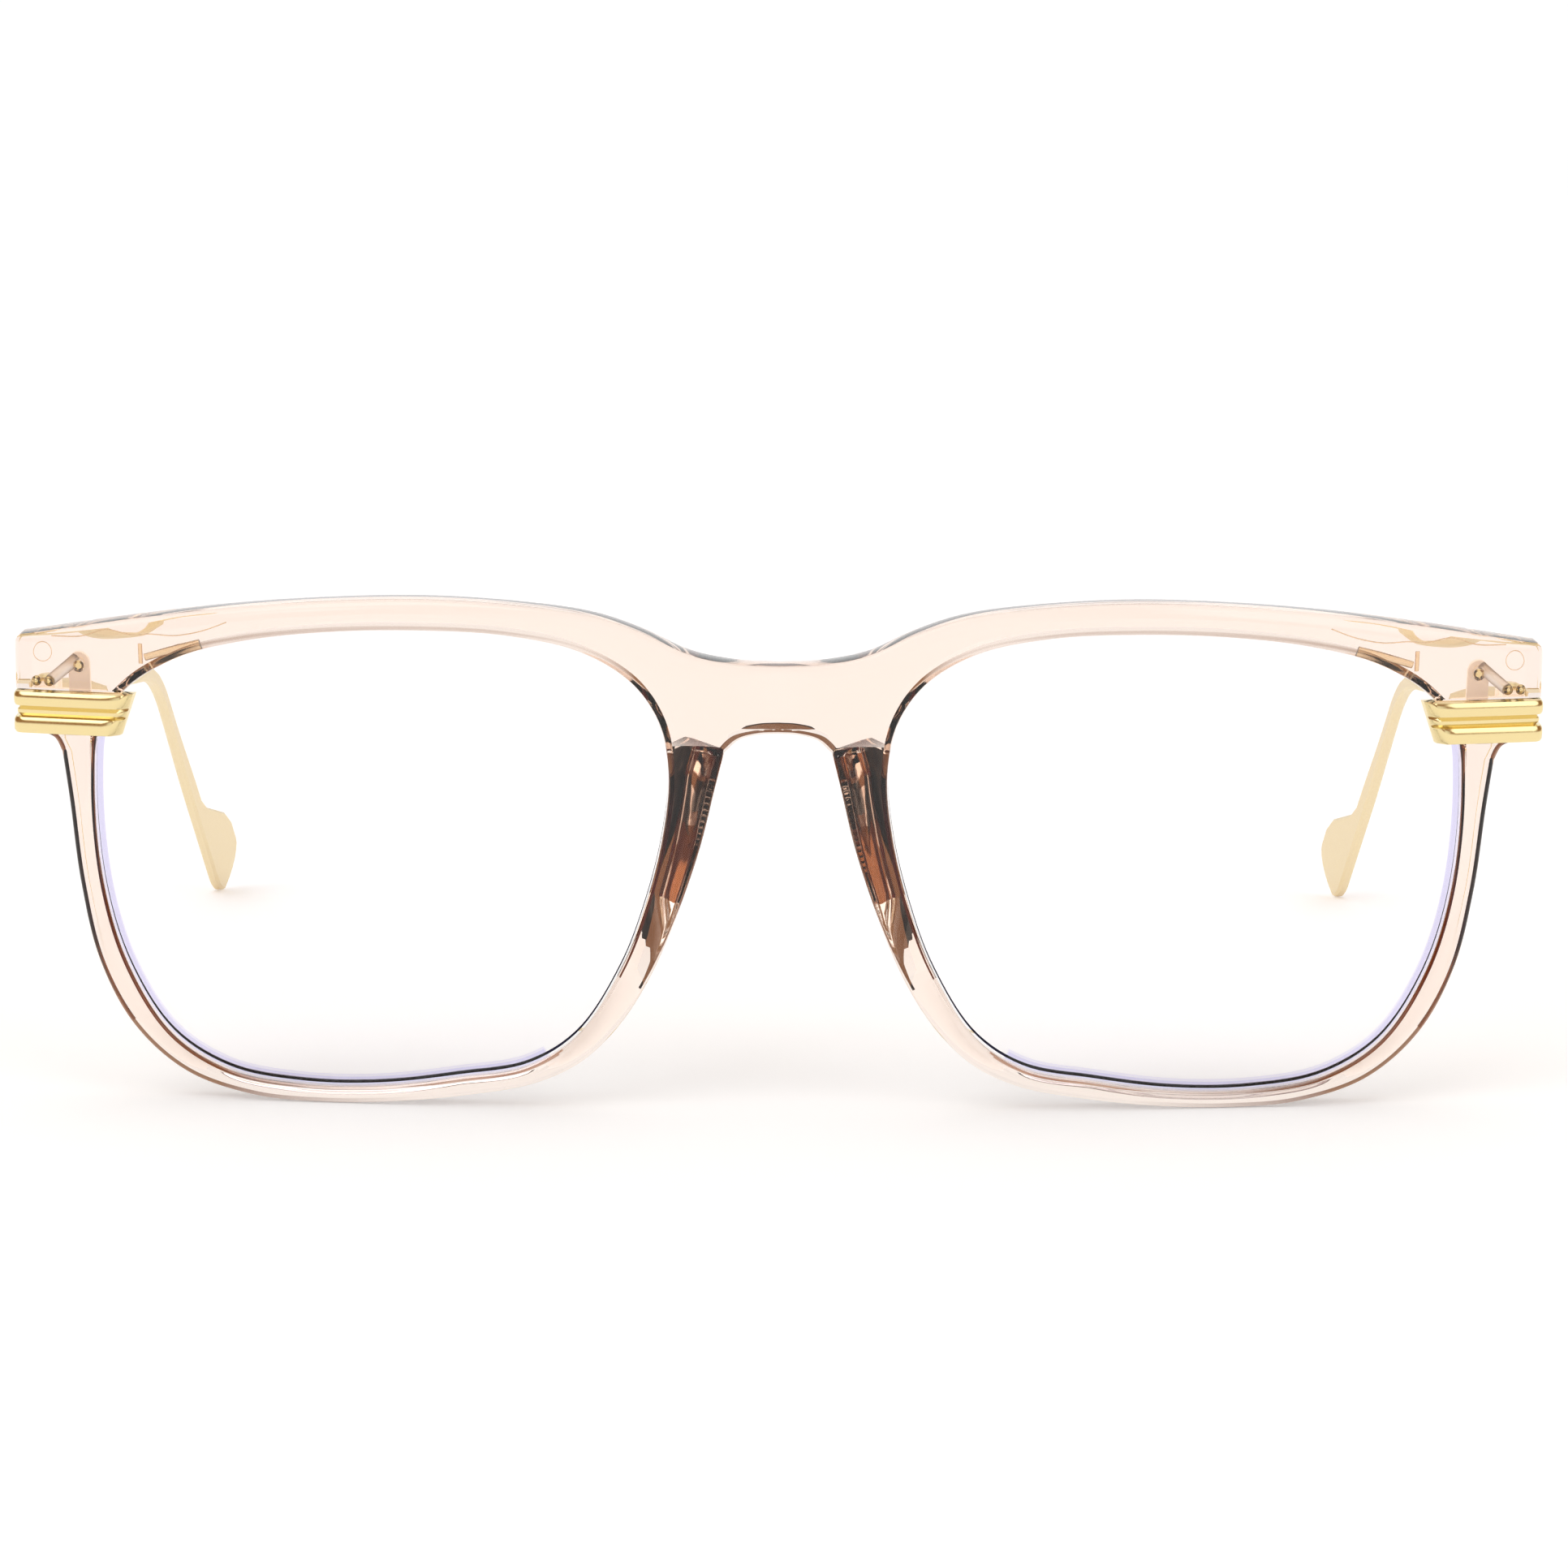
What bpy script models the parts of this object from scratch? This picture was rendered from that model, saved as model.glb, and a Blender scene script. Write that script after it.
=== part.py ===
"""Blue light glasses: a clear moulded front, gold ridged corner trims, wire temples with paddle ends.

Model frame: +X is the wearer's left, +Z is up, the front faces -Y and the temples run back along +Y.
The glasses stand open on z = 0, on the bottoms of their rims and the ends of their temples.

The front is laid out in its own flat millimetre coordinates: u to the wearer's left, w up from the bottom
of the rims, v back from the front face. The face form adds sag(u) to every depth v, and the whole front
then leans forward by FRONT_TILT.
"""

import math

import bmesh
import bpy
import numpy as np
from mathutils import Matrix, Vector

MM = 0.001

# Driving dimensions, in millimetres and degrees
FACE_FORM_RADIUS = 300.0
FRONT_TILT = math.radians(4.0)
FRONT_Y = -71.5
FRONT_Z = -0.225
FRONT_THICKNESS = 4.0
FRONT_CROWN = 0.2
EDGE_ROUND, BACK_ROUND = 0.5, 0.65
LIP_ROUND = 0.3

LENS_THICKNESS = 1.8
LENS_FRONT_DEPTH = 1.3
LENS_BEVEL = 0.55
LENS_GAP = 0.12
GROOVE_HALF_WIDTH = 0.75

PAD_TOP = 34.0
PAD_BOTTOM = 12.5
PAD_DEPTH = 3.8
PAD_SLOPE = 0.36
PAD_FLAT = 0.3

TRIM_BOTTOM, TRIM_TOP = 34.15, 38.15
TRIM_OUTER = 71.2
TRIM_PROUD = 1.0
TRIM_SEAT_DEPTH = 1.2
TRIM_SIDE_THICKNESS = 1.4
TRIM_CORNER_RADIUS = 1.1
TRIM_REAR = 14.7
CLEARANCE = 0.08

HINGE_U, HINGE_V, HINGE_W = 68.4, 15.4, 36.15
KNUCKLE_RADIUS, KNUCKLE_BORE = 1.25, 0.62
HINGE_SCREW_RADIUS = 0.55
MIDDLE_KNUCKLE = 1.4
PLATE_THICKNESS = 0.8
PLATE_LOW, PLATE_HIGH = 34.4, 37.9

POST_U, POST_W, POST_RADIUS = 66.0, 36.15, 1.1
EAR_U, EAR_W, EAR_RADIUS = 65.0, 40.4, 1.0
SMALL_SCREW_RADIUS, SMALL_BORE, SMALL_HEAD_RADIUS = 0.5, 0.56, 0.85

ARM_U, ARM_START = 70.45, 0.0
ARM_THICKNESS, ARM_ROOT_HEIGHT = 1.3, 3.9
ARM_HEIGHT, EAR_HEIGHT = 2.4, 1.7
ARM_SLOPE, EAR_SLOPE = math.radians(4.0), math.radians(34.0)
ARM_STRAIGHT, BEND_RADIUS, EAR_STRAIGHT = 78.0, 30.0, 46.85
INSET_SQUARE, INSET_CUBE, INSET_STRAIGHT = 8.9e-5, 9.9e-7, 104.0
PADDLE_LENGTH, PADDLE_HEIGHT, END_STEPS = 22.0, 5.9, 6
PADDLE_SHOULDER, PADDLE_END, PADDLE_TWIST = 14.0, 4.0, 0.3

# Lip of the wearer's left lens opening (u, w), clockwise from above the pupil as the wearer's front is seen
LENS_OUTLINE = [
    (33.5, 44.9), (42.0, 44.5), (49.5, 43.45), (55.4, 41.8), (60.2, 38.9), (63.0, 35.3),
    (63.7, 29.5), (62.9, 19.5), (60.6, 12.0), (56.6, 5.9), (51.2, 2.7), (44.5, 1.65), (37.0, 1.75),
    (29.5, 2.8), (23.0, 4.1), (18.4, 7.2), (14.4, 13.6), (12.2, 19.5), (10.6, 26.0), (10.05, 32.0),
    (11.0, 36.8), (13.6, 40.5), (18.2, 43.2), (25.0, 44.6),
]
# Outer edge of the front, in stretches from the middle of the bridge outwards and round to the middle again
TOP_EDGE = [(0.0, 42.05), (4.0, 42.25), (8.2, 43.1), (12.5, 45.05), (17.0, 46.5), (23.5, 47.35),
            (32.5, 47.75), (42.0, 47.35), (50.8, 46.5), (60.0, 45.15), (70.1, 43.35)]
LOBE_EDGE = (71.1, 42.45, 34.9)
LOBE_FLOOR = 34.1
RIM_EDGE = [(66.75, 32.4), (66.15, 28.0), (65.2, 20.0), (63.5, 12.6), (60.3, 6.6), (55.4, 2.4), (49.0, 0.4),
            (42.5, 0.0), (35.5, 0.3), (28.5, 1.15), (22.5, 2.4), (18.2, 4.5), (14.6, 8.1), (11.7, 12.8),
            (9.2, 18.8), (7.15, 25.0), (5.7, 31.0), (4.95, PAD_TOP)]
ARCH_EDGE = [(4.95, PAD_TOP), (3.6, 35.2), (1.8, 35.7), (0.0, 35.8)]


def sag(u):
    return u * u / (2 * FACE_FORM_RADIUS)


def smooth_step(t):
    t = min(1.0, max(0.0, t))
    return t * t * (3 - 2 * t)


def spline(points, closed=False, steps=24):
    """A centripetal Catmull-Rom curve through the points, as a dense array."""
    p = [np.array(q, float) for q in points]
    if closed:
        p = [p[-1], *p, p[0], p[1]]
    else:
        p = [2 * p[0] - p[1], *p, 2 * p[-1] - p[-2]]
    found = []
    for a, b, c, d in zip(p, p[1:], p[2:], p[3:]):
        t0 = 0.0
        t1 = t0 + math.sqrt(np.linalg.norm(b - a))
        t2 = t1 + math.sqrt(np.linalg.norm(c - b))
        t3 = t2 + math.sqrt(np.linalg.norm(d - c))
        for t in np.linspace(t1, t2, steps, endpoint=False):
            ab = (t1 - t) / (t1 - t0) * a + (t - t0) / (t1 - t0) * b
            bc = (t2 - t) / (t2 - t1) * b + (t - t1) / (t2 - t1) * c
            cd = (t3 - t) / (t3 - t2) * c + (t - t2) / (t3 - t2) * d
            abc = (t2 - t) / (t2 - t0) * ab + (t - t0) / (t2 - t0) * bc
            bcd = (t3 - t) / (t3 - t1) * bc + (t - t1) / (t3 - t1) * cd
            found.append((t2 - t) / (t2 - t1) * abc + (t - t1) / (t2 - t1) * bcd)
    if not closed:
        found.append(p[-2])
    return np.array(found)


def arc(centre, radius, start, end, steps=12):
    angles = np.radians(np.linspace(start, end, steps))
    return np.array(centre) + radius * np.column_stack([np.cos(angles), np.sin(angles)])


def resample(curve, count):
    """count points evenly spaced along a polyline, its first point included and its last left out."""
    steps = np.linalg.norm(np.diff(curve, axis=0), axis=1)
    along = np.concatenate([[0], np.cumsum(steps)])
    wanted = np.linspace(0, along[-1], count, endpoint=False)
    return np.column_stack([np.interp(wanted, along, curve[:, k]) for k in range(2)])


def normals_of(points, closed):
    """Unit normals in the plane, to the right of the way the points run."""
    if closed:
        ahead = np.roll(points, -1, axis=0) - np.roll(points, 1, axis=0)
    else:
        ahead = np.gradient(points, axis=0)
    ahead /= np.linalg.norm(ahead, axis=1)[:, None]
    return np.column_stack([ahead[:, 1], -ahead[:, 0]])


def between(closed_curve, start, end):
    """The stretch of a dense closed curve from the point nearest start to the point nearest end."""
    i = int(np.argmin(np.linalg.norm(closed_curve - start, axis=1)))
    j = int(np.argmin(np.linalg.norm(closed_curve - end, axis=1)))
    if j <= i:
        j += len(closed_curve)
    return closed_curve[np.arange(i, j + 1) % len(closed_curve)]


def front_stations(scale):
    """Matching points on the lens lip and on the outer edge, all round one eye: (lip, edge, kind)."""
    lip = spline(LENS_OUTLINE, closed=True)
    top = spline(TOP_EDGE)
    lobe_u, lobe_high, lobe_low = LOBE_EDGE
    corner_high = arc((lobe_u - 0.9, lobe_high), 0.9, 78, 0)
    corner_low = arc((lobe_u - 0.8, lobe_low), 0.8, 0, -90)
    floor = spline([(lobe_u - 0.8, LOBE_FLOOR), (69.0, LOBE_FLOOR), (67.5, 33.7), RIM_EDGE[0]])
    middle = np.array([ARCH_EDGE[-1], TOP_EDGE[0]])
    stretches = [
        (top[: 24 * 4], (12.4, 39.2), (18.2, 43.2), 6, "edge"),
        (top[24 * 4 - 1 : 24 * 9], (18.2, 43.2), (56.0, 41.5), 12, "edge"),
        (top[24 * 9 - 1 :], (56.0, 41.5), (60.3, 38.8), 4, "edge"),
        (corner_high, (60.3, 38.8), (61.2, 37.9), 3, "edge"),
        (np.array([corner_high[-1], corner_low[0]]), (61.2, 37.9), (62.9, 35.5), 3, "edge"),
        (corner_low, (62.9, 35.5), (63.15, 34.8), 3, "edge"),
        (floor, (63.15, 34.8), (63.6, 32.4), 4, "edge"),
        (spline(RIM_EDGE), (63.6, 32.4), (10.3, PAD_TOP), 38, "edge"),
        (spline(ARCH_EDGE), (10.3, PAD_TOP), (10.9, 36.5), 5, "edge"),
        (middle, (10.9, 36.5), (12.4, 39.2), 4, "middle"),
    ]
    lips, edges, kinds = [], [], []
    for outer, start, end, count, kind in stretches:
        count *= scale
        lips.append(resample(between(lip, start, end), count))
        edges.append(resample(outer, count))
        kinds += [kind] * count
    return np.vstack(lips), np.vstack(edges), kinds


def pad_height(w):
    """How far the moulded nose pad stands behind the rim at height w."""
    if not PAD_BOTTOM < w < PAD_TOP - 1e-3:
        return 0.0
    share = (w - PAD_BOTTOM) / (PAD_TOP - PAD_BOTTOM)
    return PAD_DEPTH * math.sin(min(1.0, share * 1.5) * math.pi / 2)


def fillet(way, radius, depth, steps):
    """A quarter round (across, depth) from a wall to the face at depth. way is 1 in front and -1 behind."""
    angles = np.linspace(0, math.pi / 2, steps)
    return [(radius * (1 - math.cos(t)), depth + way * radius * (1 - math.sin(t))) for t in angles]


def front_profile(pad, width, steps):
    """The rim's section in two runs: (in from the lip, depth) and (in from the outer edge, depth)."""
    deep = FRONT_THICKNESS + pad
    back_round = BACK_ROUND + 0.05 * pad
    groove_mid = LENS_FRONT_DEPTH + LENS_THICKNESS / 2
    g = GROOVE_HALF_WIDTH + LENS_GAP
    lip = fillet(-1, LIP_ROUND, deep, steps)[::-1]
    lip += [(0.0, groove_mid + g), (LENS_BEVEL + LENS_GAP, groove_mid), (0.0, groove_mid - g)]
    lip += fillet(1, LIP_ROUND, 0.0, steps)
    wall = fillet(1, EDGE_ROUND, 0.0, steps)[::-1]
    wall += fillet(-1, back_round, deep, steps)
    room = (width - LIP_ROUND - back_round - PAD_FLAT) / deep
    lean = min(PAD_SLOPE * pad / PAD_DEPTH, max(0.0, room))
    wall = [(across + lean * max(0.0, depth - 0.6), depth) for across, depth in wall]
    return lip, wall


def front_half(scale=1, steps=3):
    """Vertices and faces of the wearer's left half of the front, in front coordinates, open at u = 0."""
    lip, edge, kinds = front_stations(scale)
    count = len(lip)
    lip_out = -normals_of(lip, True)
    on_edge = [k for k in range(count) if kinds[k] == "edge"]
    edge_in = np.zeros((count, 2))
    edge_in[on_edge] = normals_of(edge[on_edge], False)
    edge_in[0] = (0.0, -1.0)
    first_middle = on_edge[-1] + 1
    edge_in[first_middle] = (0.0, 1.0)
    low, high = edge[first_middle].copy(), edge[0].copy()
    for k in range(first_middle + 1, count):
        share = (k - first_middle) / (count - first_middle)
        edge[k] = low + (0, EDGE_ROUND) + share * (high - low - (0, 2 * EDGE_ROUND))
    shares = np.linspace(0, 1, 2 * scale + 1)[1:-1]
    rings = []
    for k in range(count):
        on_pad = lip[k][0] < 20 and edge[k][0] < 16
        pad = pad_height((lip[k][1] + edge[k][1]) / 2) if on_pad else 0.0
        lip_run, wall_run = front_profile(pad, np.linalg.norm(lip[k] - edge[k]), steps)
        inner = [(*(lip[k] + d * lip_out[k]), v) for d, v in lip_run]
        if kinds[k] == "edge" or k == first_middle:
            wall = [(*(edge[k] + d * edge_in[k]), v) for d, v in wall_run]
        else:
            wall = [(*edge[k], v) for _, v in wall_run]
        front = [tuple(np.array(inner[-1]) * (1 - s) + np.array(wall[0]) * s) for s in shares]
        front = [(u, w, v - FRONT_CROWN * 4 * s * (1 - s)) for (u, w, v), s in zip(front, shares)]
        back = [tuple(np.array(wall[-1]) * (1 - s) + np.array(inner[0]) * s) for s in shares]
        rings.append(inner + front + wall + back)
    size = len(rings[0])
    verts = [(u, w, v + sag(u)) for ring in rings for u, w, v in ring]
    faces = []
    for k in range(count):
        j = (k + 1) % count
        for m in range(size):
            n = (m + 1) % size
            face = (k * size + m, k * size + n, j * size + n, j * size + m)
            if max(abs(verts[i][0]) for i in face) > 1e-6:
                faces.append(face)
    return verts, faces


def to_model(u, w, v):
    """Front coordinates in millimetres to model coordinates in metres."""
    y = FRONT_Y + v * math.cos(FRONT_TILT) - w * math.sin(FRONT_TILT)
    z = FRONT_Z + v * math.sin(FRONT_TILT) + w * math.cos(FRONT_TILT)
    return Vector((u, y, z)) * MM


def material(name, colour, roughness, metallic=0.0, alpha=1.0):
    made = bpy.data.materials.new(name)
    made.use_nodes = True
    shader = made.node_tree.nodes["Principled BSDF"]
    shader.inputs["Base Color"].default_value = (*colour, 1.0)
    shader.inputs["Roughness"].default_value = roughness
    shader.inputs["Metallic"].default_value = metallic
    shader.inputs["Alpha"].default_value = alpha
    return made


def add(name, bm, look, parent=None, smooth=35):
    """Makes a bmesh in model coordinates one object, with its normals pointing outwards."""
    bmesh.ops.recalc_face_normals(bm, faces=bm.faces)
    if bm.calc_volume(signed=True) < 0:
        bmesh.ops.reverse_faces(bm, faces=bm.faces)
    mesh = bpy.data.meshes.new(name)
    bm.to_mesh(mesh)
    bm.free()
    mesh.materials.append(look)
    mesh.shade_smooth()
    mesh.set_sharp_from_angle(angle=math.radians(smooth))
    made = bpy.data.objects.new(name, mesh)
    bpy.context.scene.collection.objects.link(made)
    if parent is not None:
        mesh.transform(parent.matrix_world.inverted())
        made.parent = parent
    return made


def mesh_from(verts, faces, side=1, place=to_model):
    """A bmesh of points given in front coordinates. side -1 mirrors it to the wearer's right."""
    bm = bmesh.new()
    points = [place(side * u, w, v) for u, w, v in verts]
    made = [bm.verts.new(p) for p in points]
    for face in faces:
        if len(set(face)) == len(face):
            bm.faces.new([made[i] for i in face])
    return bm


def loft(rings):
    """Faces that join equal rings of points one after another, with both ends filled."""
    size = len(rings[0])
    faces = [(k * size + m, k * size + (m + 1) % size, (k + 1) * size + (m + 1) % size, (k + 1) * size + m)
             for k in range(len(rings) - 1) for m in range(size)]
    last = (len(rings) - 1) * size
    faces.append(tuple(range(size)))
    faces.append(tuple(last + m for m in reversed(range(size))))
    return [p for ring in rings for p in ring], faces


def cylinder(centre, radius, start, end, along="w", steps=20, top_radius=None):
    """A round bar in front coordinates: centre is (u, v) along w, or (u, w) along v."""
    rings = []
    for at, size in ((start, radius), (end, top_radius or radius)):
        ring = []
        for k in range(steps):
            angle = 2 * math.pi * k / steps
            a, b = centre[0] + size * math.cos(angle), centre[1] + size * math.sin(angle)
            ring.append((a, at, b) if along == "w" else (a, b, at))
        rings.append(ring)
    return loft(rings)


def bent(shape):
    """The same shape with the face form's sag added to its depths."""
    verts, faces = shape
    return [(u, w, v + sag(u)) for u, w, v in verts], faces


def block(u, w, v):
    """A box in front coordinates from three (low, high) pairs."""
    rings = [[(x, w[0], v[0]), (x, w[1], v[0]), (x, w[1], v[1]), (x, w[0], v[1])] for x in u]
    return loft(rings)


def boolean(target, shape, operation, side, name):
    """Cuts a shape from an object's mesh, or joins it on, and applies the result."""
    verts, faces = shape
    bm = mesh_from(verts, faces, side)
    bmesh.ops.recalc_face_normals(bm, faces=bm.faces)
    if bm.calc_volume(signed=True) < 0:
        bmesh.ops.reverse_faces(bm, faces=bm.faces)
    mesh = bpy.data.meshes.new(name)
    bm.to_mesh(mesh)
    bm.free()
    tool = bpy.data.objects.new(name, mesh)
    bpy.context.scene.collection.objects.link(tool)
    change = target.modifiers.new(name, "BOOLEAN")
    change.operation = operation
    change.solver = "EXACT"
    change.object = tool
    graph = bpy.context.evaluated_depsgraph_get()
    made = bpy.data.meshes.new_from_object(target.evaluated_get(graph))
    old = target.data
    target.modifiers.remove(change)
    target.data = made
    bpy.data.meshes.remove(old)
    bpy.data.objects.remove(tool)


def make_front(look):
    """The moulded front: both halves joined at the middle of the bridge, then cut for the metalwork."""
    verts, faces = front_half()
    bm = bmesh.new()
    seam = {}
    for side in (1, -1):
        made = []
        for k, (u, w, v) in enumerate(verts):
            if abs(u) < 1e-6 and side < 0:
                made.append(seam[k])
                continue
            vert = bm.verts.new(to_model(side * u, w, v))
            seam[k] = vert
            made.append(vert)
        for face in faces:
            bm.faces.new([made[i] for i in (face if side > 0 else reversed(face))])
    front = add("front_frame", bm, look)
    for side in (1, -1):
        boolean(front, trim_seat(), "DIFFERENCE", side, "trim_seat")
        post_hole = cylinder((POST_U, POST_W), POST_RADIUS + CLEARANCE, 0.0, 20.0, "v")
        boolean(front, post_hole, "DIFFERENCE", side, "post_hole")
        hole = cylinder((EAR_U, EAR_W), SMALL_BORE, sag(EAR_U) + 1.6, 20.0, "v", 16)
        boolean(front, hole, "DIFFERENCE", side, "ear_hole")
    return front


def trim_path(inset):
    """The corner trim's line in plan, inset from its outer surface: (u, v, outward u, outward v)."""
    corner = TRIM_OUTER - TRIM_CORNER_RADIUS
    stations = []
    for u in [u for u, _ in TRIM_INNER_END] + list(np.linspace(62.8, corner, 4)):
        slope = u / FACE_FORM_RADIUS
        n = np.array([slope, -1.0]) / math.hypot(slope, 1.0)
        stations.append((u, sag(u) - TRIM_PROUD, *n))
    centre = (corner, sag(corner) - TRIM_PROUD + TRIM_CORNER_RADIUS)
    for angle in np.radians([-60, -40, -20, 0]):
        n = (math.cos(angle), math.sin(angle))
        stations.append((centre[0] + TRIM_CORNER_RADIUS * n[0], centre[1] + TRIM_CORNER_RADIUS * n[1], *n))
    stations.append((TRIM_OUTER, TRIM_REAR, 1.0, 0.0))
    return [(u - inset * nu, v - inset * nv, nu, nv) for u, v, nu, nv in stations]


# The trim's ridged face (height above its surface, w): two rounded bars with a fine ridge sunk between them
RIDGES = [(-0.45, TRIM_BOTTOM), (-0.14, 34.22), (0.0, 34.45), (0.04, 34.95), (0.0, 35.45), (-0.12, 35.68),
          (-0.55, 35.78), (-0.42, 35.95), (-0.3, 36.08), (-0.3, 36.38), (-0.42, 36.5), (-0.55, 36.68),
          (-0.12, 36.78), (0.0, 37.0), (0.04, 37.45), (0.0, 37.85), (-0.14, 38.08), (-0.45, TRIM_TOP)]
TRIM_INNER_END = [(60.1, 0.95), (60.7, 0.14), (61.0, 0.0)]


def trim_end(w):
    """Where the trim's inner end lies at height w: it follows the lens opening."""
    return 0.34 * (TRIM_TOP - w)


def trim_shape():
    rings = []
    front_depth = TRIM_PROUD + TRIM_SEAT_DEPTH
    stations = trim_path(0.0)
    ends = len(TRIM_INNER_END)
    for k, (u, v, nu, nv) in enumerate(stations):
        on_front = nv < -0.9
        thinning = 0.0 if on_front else min(1.0, nu / 0.9)
        depth = front_depth + (TRIM_SIDE_THICKNESS - front_depth) * thinning
        sunk = TRIM_INNER_END[k][1] if k < ends else 0.0
        ring = []
        for e, w in RIDGES:
            shift = trim_end(w) if k < ends else 0.0
            bend = (sag(u + shift) - sag(u)) * on_front
            ring.append((u + nu * (e - sunk) + shift, w, v + bend + nv * (e - sunk)))
        for w in (TRIM_TOP, TRIM_BOTTOM):
            shift = trim_end(w) if k < ends else 0.0
            bend = (sag(u + shift) - sag(u)) * on_front
            ring.append((u - nu * depth + shift, w, v + bend - nv * depth))
        rings.append(ring)
    return loft(rings)


def trim_seat():
    """The space cut from the front for the trim: its plain outline with a little room."""
    low, high = TRIM_BOTTOM - CLEARANCE, TRIM_TOP + CLEARANCE
    seat = TRIM_SEAT_DEPTH + CLEARANCE
    inner_side = TRIM_OUTER - TRIM_SIDE_THICKNESS - CLEARANCE
    line = [(58.0, sag(58.0) + seat), (62.0, sag(62.0) + seat), (66.0, sag(66.0) + seat),
            (inner_side, sag(inner_side) + seat), (inner_side, 20.0),
            (74.0, 20.0), (74.0, 3.0), (58.0, 3.0)]
    return loft([[(u, w, v) for u, v in line] for w in (low, high)])


def make_trim(side, name, look):
    trim = add(name, mesh_from(*trim_shape(), side), look)
    floor = sag(POST_U) + TRIM_SEAT_DEPTH
    post_end = sag(POST_U) + FRONT_THICKNESS - 0.3
    post = cylinder((POST_U, POST_W), POST_RADIUS, floor - 0.8, post_end, "v")
    bore = cylinder((POST_U, POST_W), SMALL_BORE, floor + 0.2, post_end + 1, "v", 16)
    boolean(trim, post, "UNION", side, "post")
    boolean(trim, bore, "DIFFERENCE", side, "bore")
    return trim


def plate_shape():
    """The hinge plate's sheet, which follows the back of the lobe."""
    gap = CLEARANCE
    rings = []
    for u in np.linspace(62.6, 69.5, 6):
        near = sag(u) + FRONT_THICKNESS + gap
        far = near + PLATE_THICKNESS
        rings.append([(u, PLATE_LOW, near), (u, PLATE_HIGH, near), (u, PLATE_HIGH, far), (u, PLATE_LOW, far)])
    return loft(rings)


def make_plate(side, name, look):
    """The front half of the hinge: a plate with an ear for a screw, and the two outer knuckles."""
    plate = add(name, mesh_from(*plate_shape(), side), look)
    near = FRONT_THICKNESS + CLEARANCE
    back = near + PLATE_THICKNESS
    ear = bent(cylinder((EAR_U, EAR_W), EAR_RADIUS, near + 0.05, back - 0.03, "v"))
    neck = bent(block((EAR_U - 1.0, EAR_U + 1.0), (37.0, EAR_W), (near + 0.1, back - 0.08)))
    boolean(plate, ear, "UNION", side, "ear")
    boolean(plate, neck, "UNION", side, "neck")
    half = MIDDLE_KNUCKLE / 2 + 0.06
    for low, high in ((TRIM_BOTTOM + 0.1, HINGE_W - half), (HINGE_W + half, TRIM_TOP - 0.1)):
        v0 = sag(HINGE_U) + FRONT_THICKNESS + 0.5
        web = block((HINGE_U - 1.0, HINGE_U + 0.9), (low, high), (v0, HINGE_V))
        boolean(plate, web, "UNION", side, "web")
        boolean(plate, cylinder((HINGE_U, HINGE_V), KNUCKLE_RADIUS, low, high), "UNION", side, "knuckle")
    boolean(plate, cylinder((HINGE_U, HINGE_V), KNUCKLE_BORE, 30.0, 42.0), "DIFFERENCE", side, "pin_bore")
    for u, w in ((EAR_U, EAR_W), (POST_U, POST_W)):
        boolean(plate, cylinder((u, w), SMALL_BORE, 8.0, 18.0, "v", 16), "DIFFERENCE", side, "screw_bore")
    return plate


def screw_shape(centre, radius, head_radius, tip, seat, head, along):
    """A screw from its tip to its seat, with a low domed head beyond the seat."""
    levels = [(tip, radius * 0.6), (tip + 0.4, radius), (seat, radius), (seat, head_radius),
              (seat + head * 0.6, head_radius), (seat + head, head_radius * 0.6)]
    rings = []
    for at, size in levels:
        ring = cylinder(centre, size, at, at + 1, along, 16)[0][:16]
        rings.append(ring)
    return loft(rings)


def make_screws(side, hand, look):
    seat = FRONT_THICKNESS + CLEARANCE + PLATE_THICKNESS + 0.06
    small = (SMALL_SCREW_RADIUS, SMALL_HEAD_RADIUS, seat - 3.0, seat, 0.5, "v")
    ear = bent(screw_shape((EAR_U, EAR_W), *small))
    post = bent(screw_shape((POST_U, POST_W), *small))
    pin_seat = TRIM_TOP - 0.1 + 0.06
    pin = screw_shape((HINGE_U, HINGE_V), HINGE_SCREW_RADIUS, 1.0, TRIM_BOTTOM + 0.2, pin_seat, 0.55, "w")
    for name, shape in (("ear_screw", ear), ("post_screw", post), ("hinge_screw", pin)):
        add(f"{hand}_{name}", mesh_from(*shape, side), look)


def hinge_point(side):
    """A point on the hinge's axis at mid height, in the model."""
    return to_model(side * HINGE_U, HINGE_W, HINGE_V)


def arm_line(scale=1):
    """The temple's centre line in the vertical plane: (length, back, down, slope) from its front end."""
    stations = [(0.0, 0.0, 0.0, ARM_SLOPE)]

    def go(length, slope):
        along, back, down, _ = stations[-1]
        back += length * math.cos(slope)
        down += length * math.sin(slope)
        stations.append((along + length, back, down, slope))

    for length in [1.0] * 3 + [3.0] * 3 + [(ARM_STRAIGHT - 12) / 8] * 8:
        go(length, ARM_SLOPE)
    turns = 8 * scale
    for k in range(turns):
        slope = ARM_SLOPE + (EAR_SLOPE - ARM_SLOPE) * (k + 0.5) / turns
        go(BEND_RADIUS * (EAR_SLOPE - ARM_SLOPE) / turns, slope)
    stations[-1] = (*stations[-1][:3], EAR_SLOPE)
    before = EAR_STRAIGHT - PADDLE_LENGTH
    middle = PADDLE_LENGTH - PADDLE_SHOULDER - PADDLE_END
    shares = np.diff(1 - np.cos(np.linspace(0, math.pi / 2, END_STEPS * scale + 1)))[::-1]
    runs = [before / 5] * 5 + [PADDLE_SHOULDER / (4 * scale)] * (4 * scale) + [middle / 3] * 3
    for length in runs + list(PADDLE_END * shares):
        go(length, EAR_SLOPE)
    return stations


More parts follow.
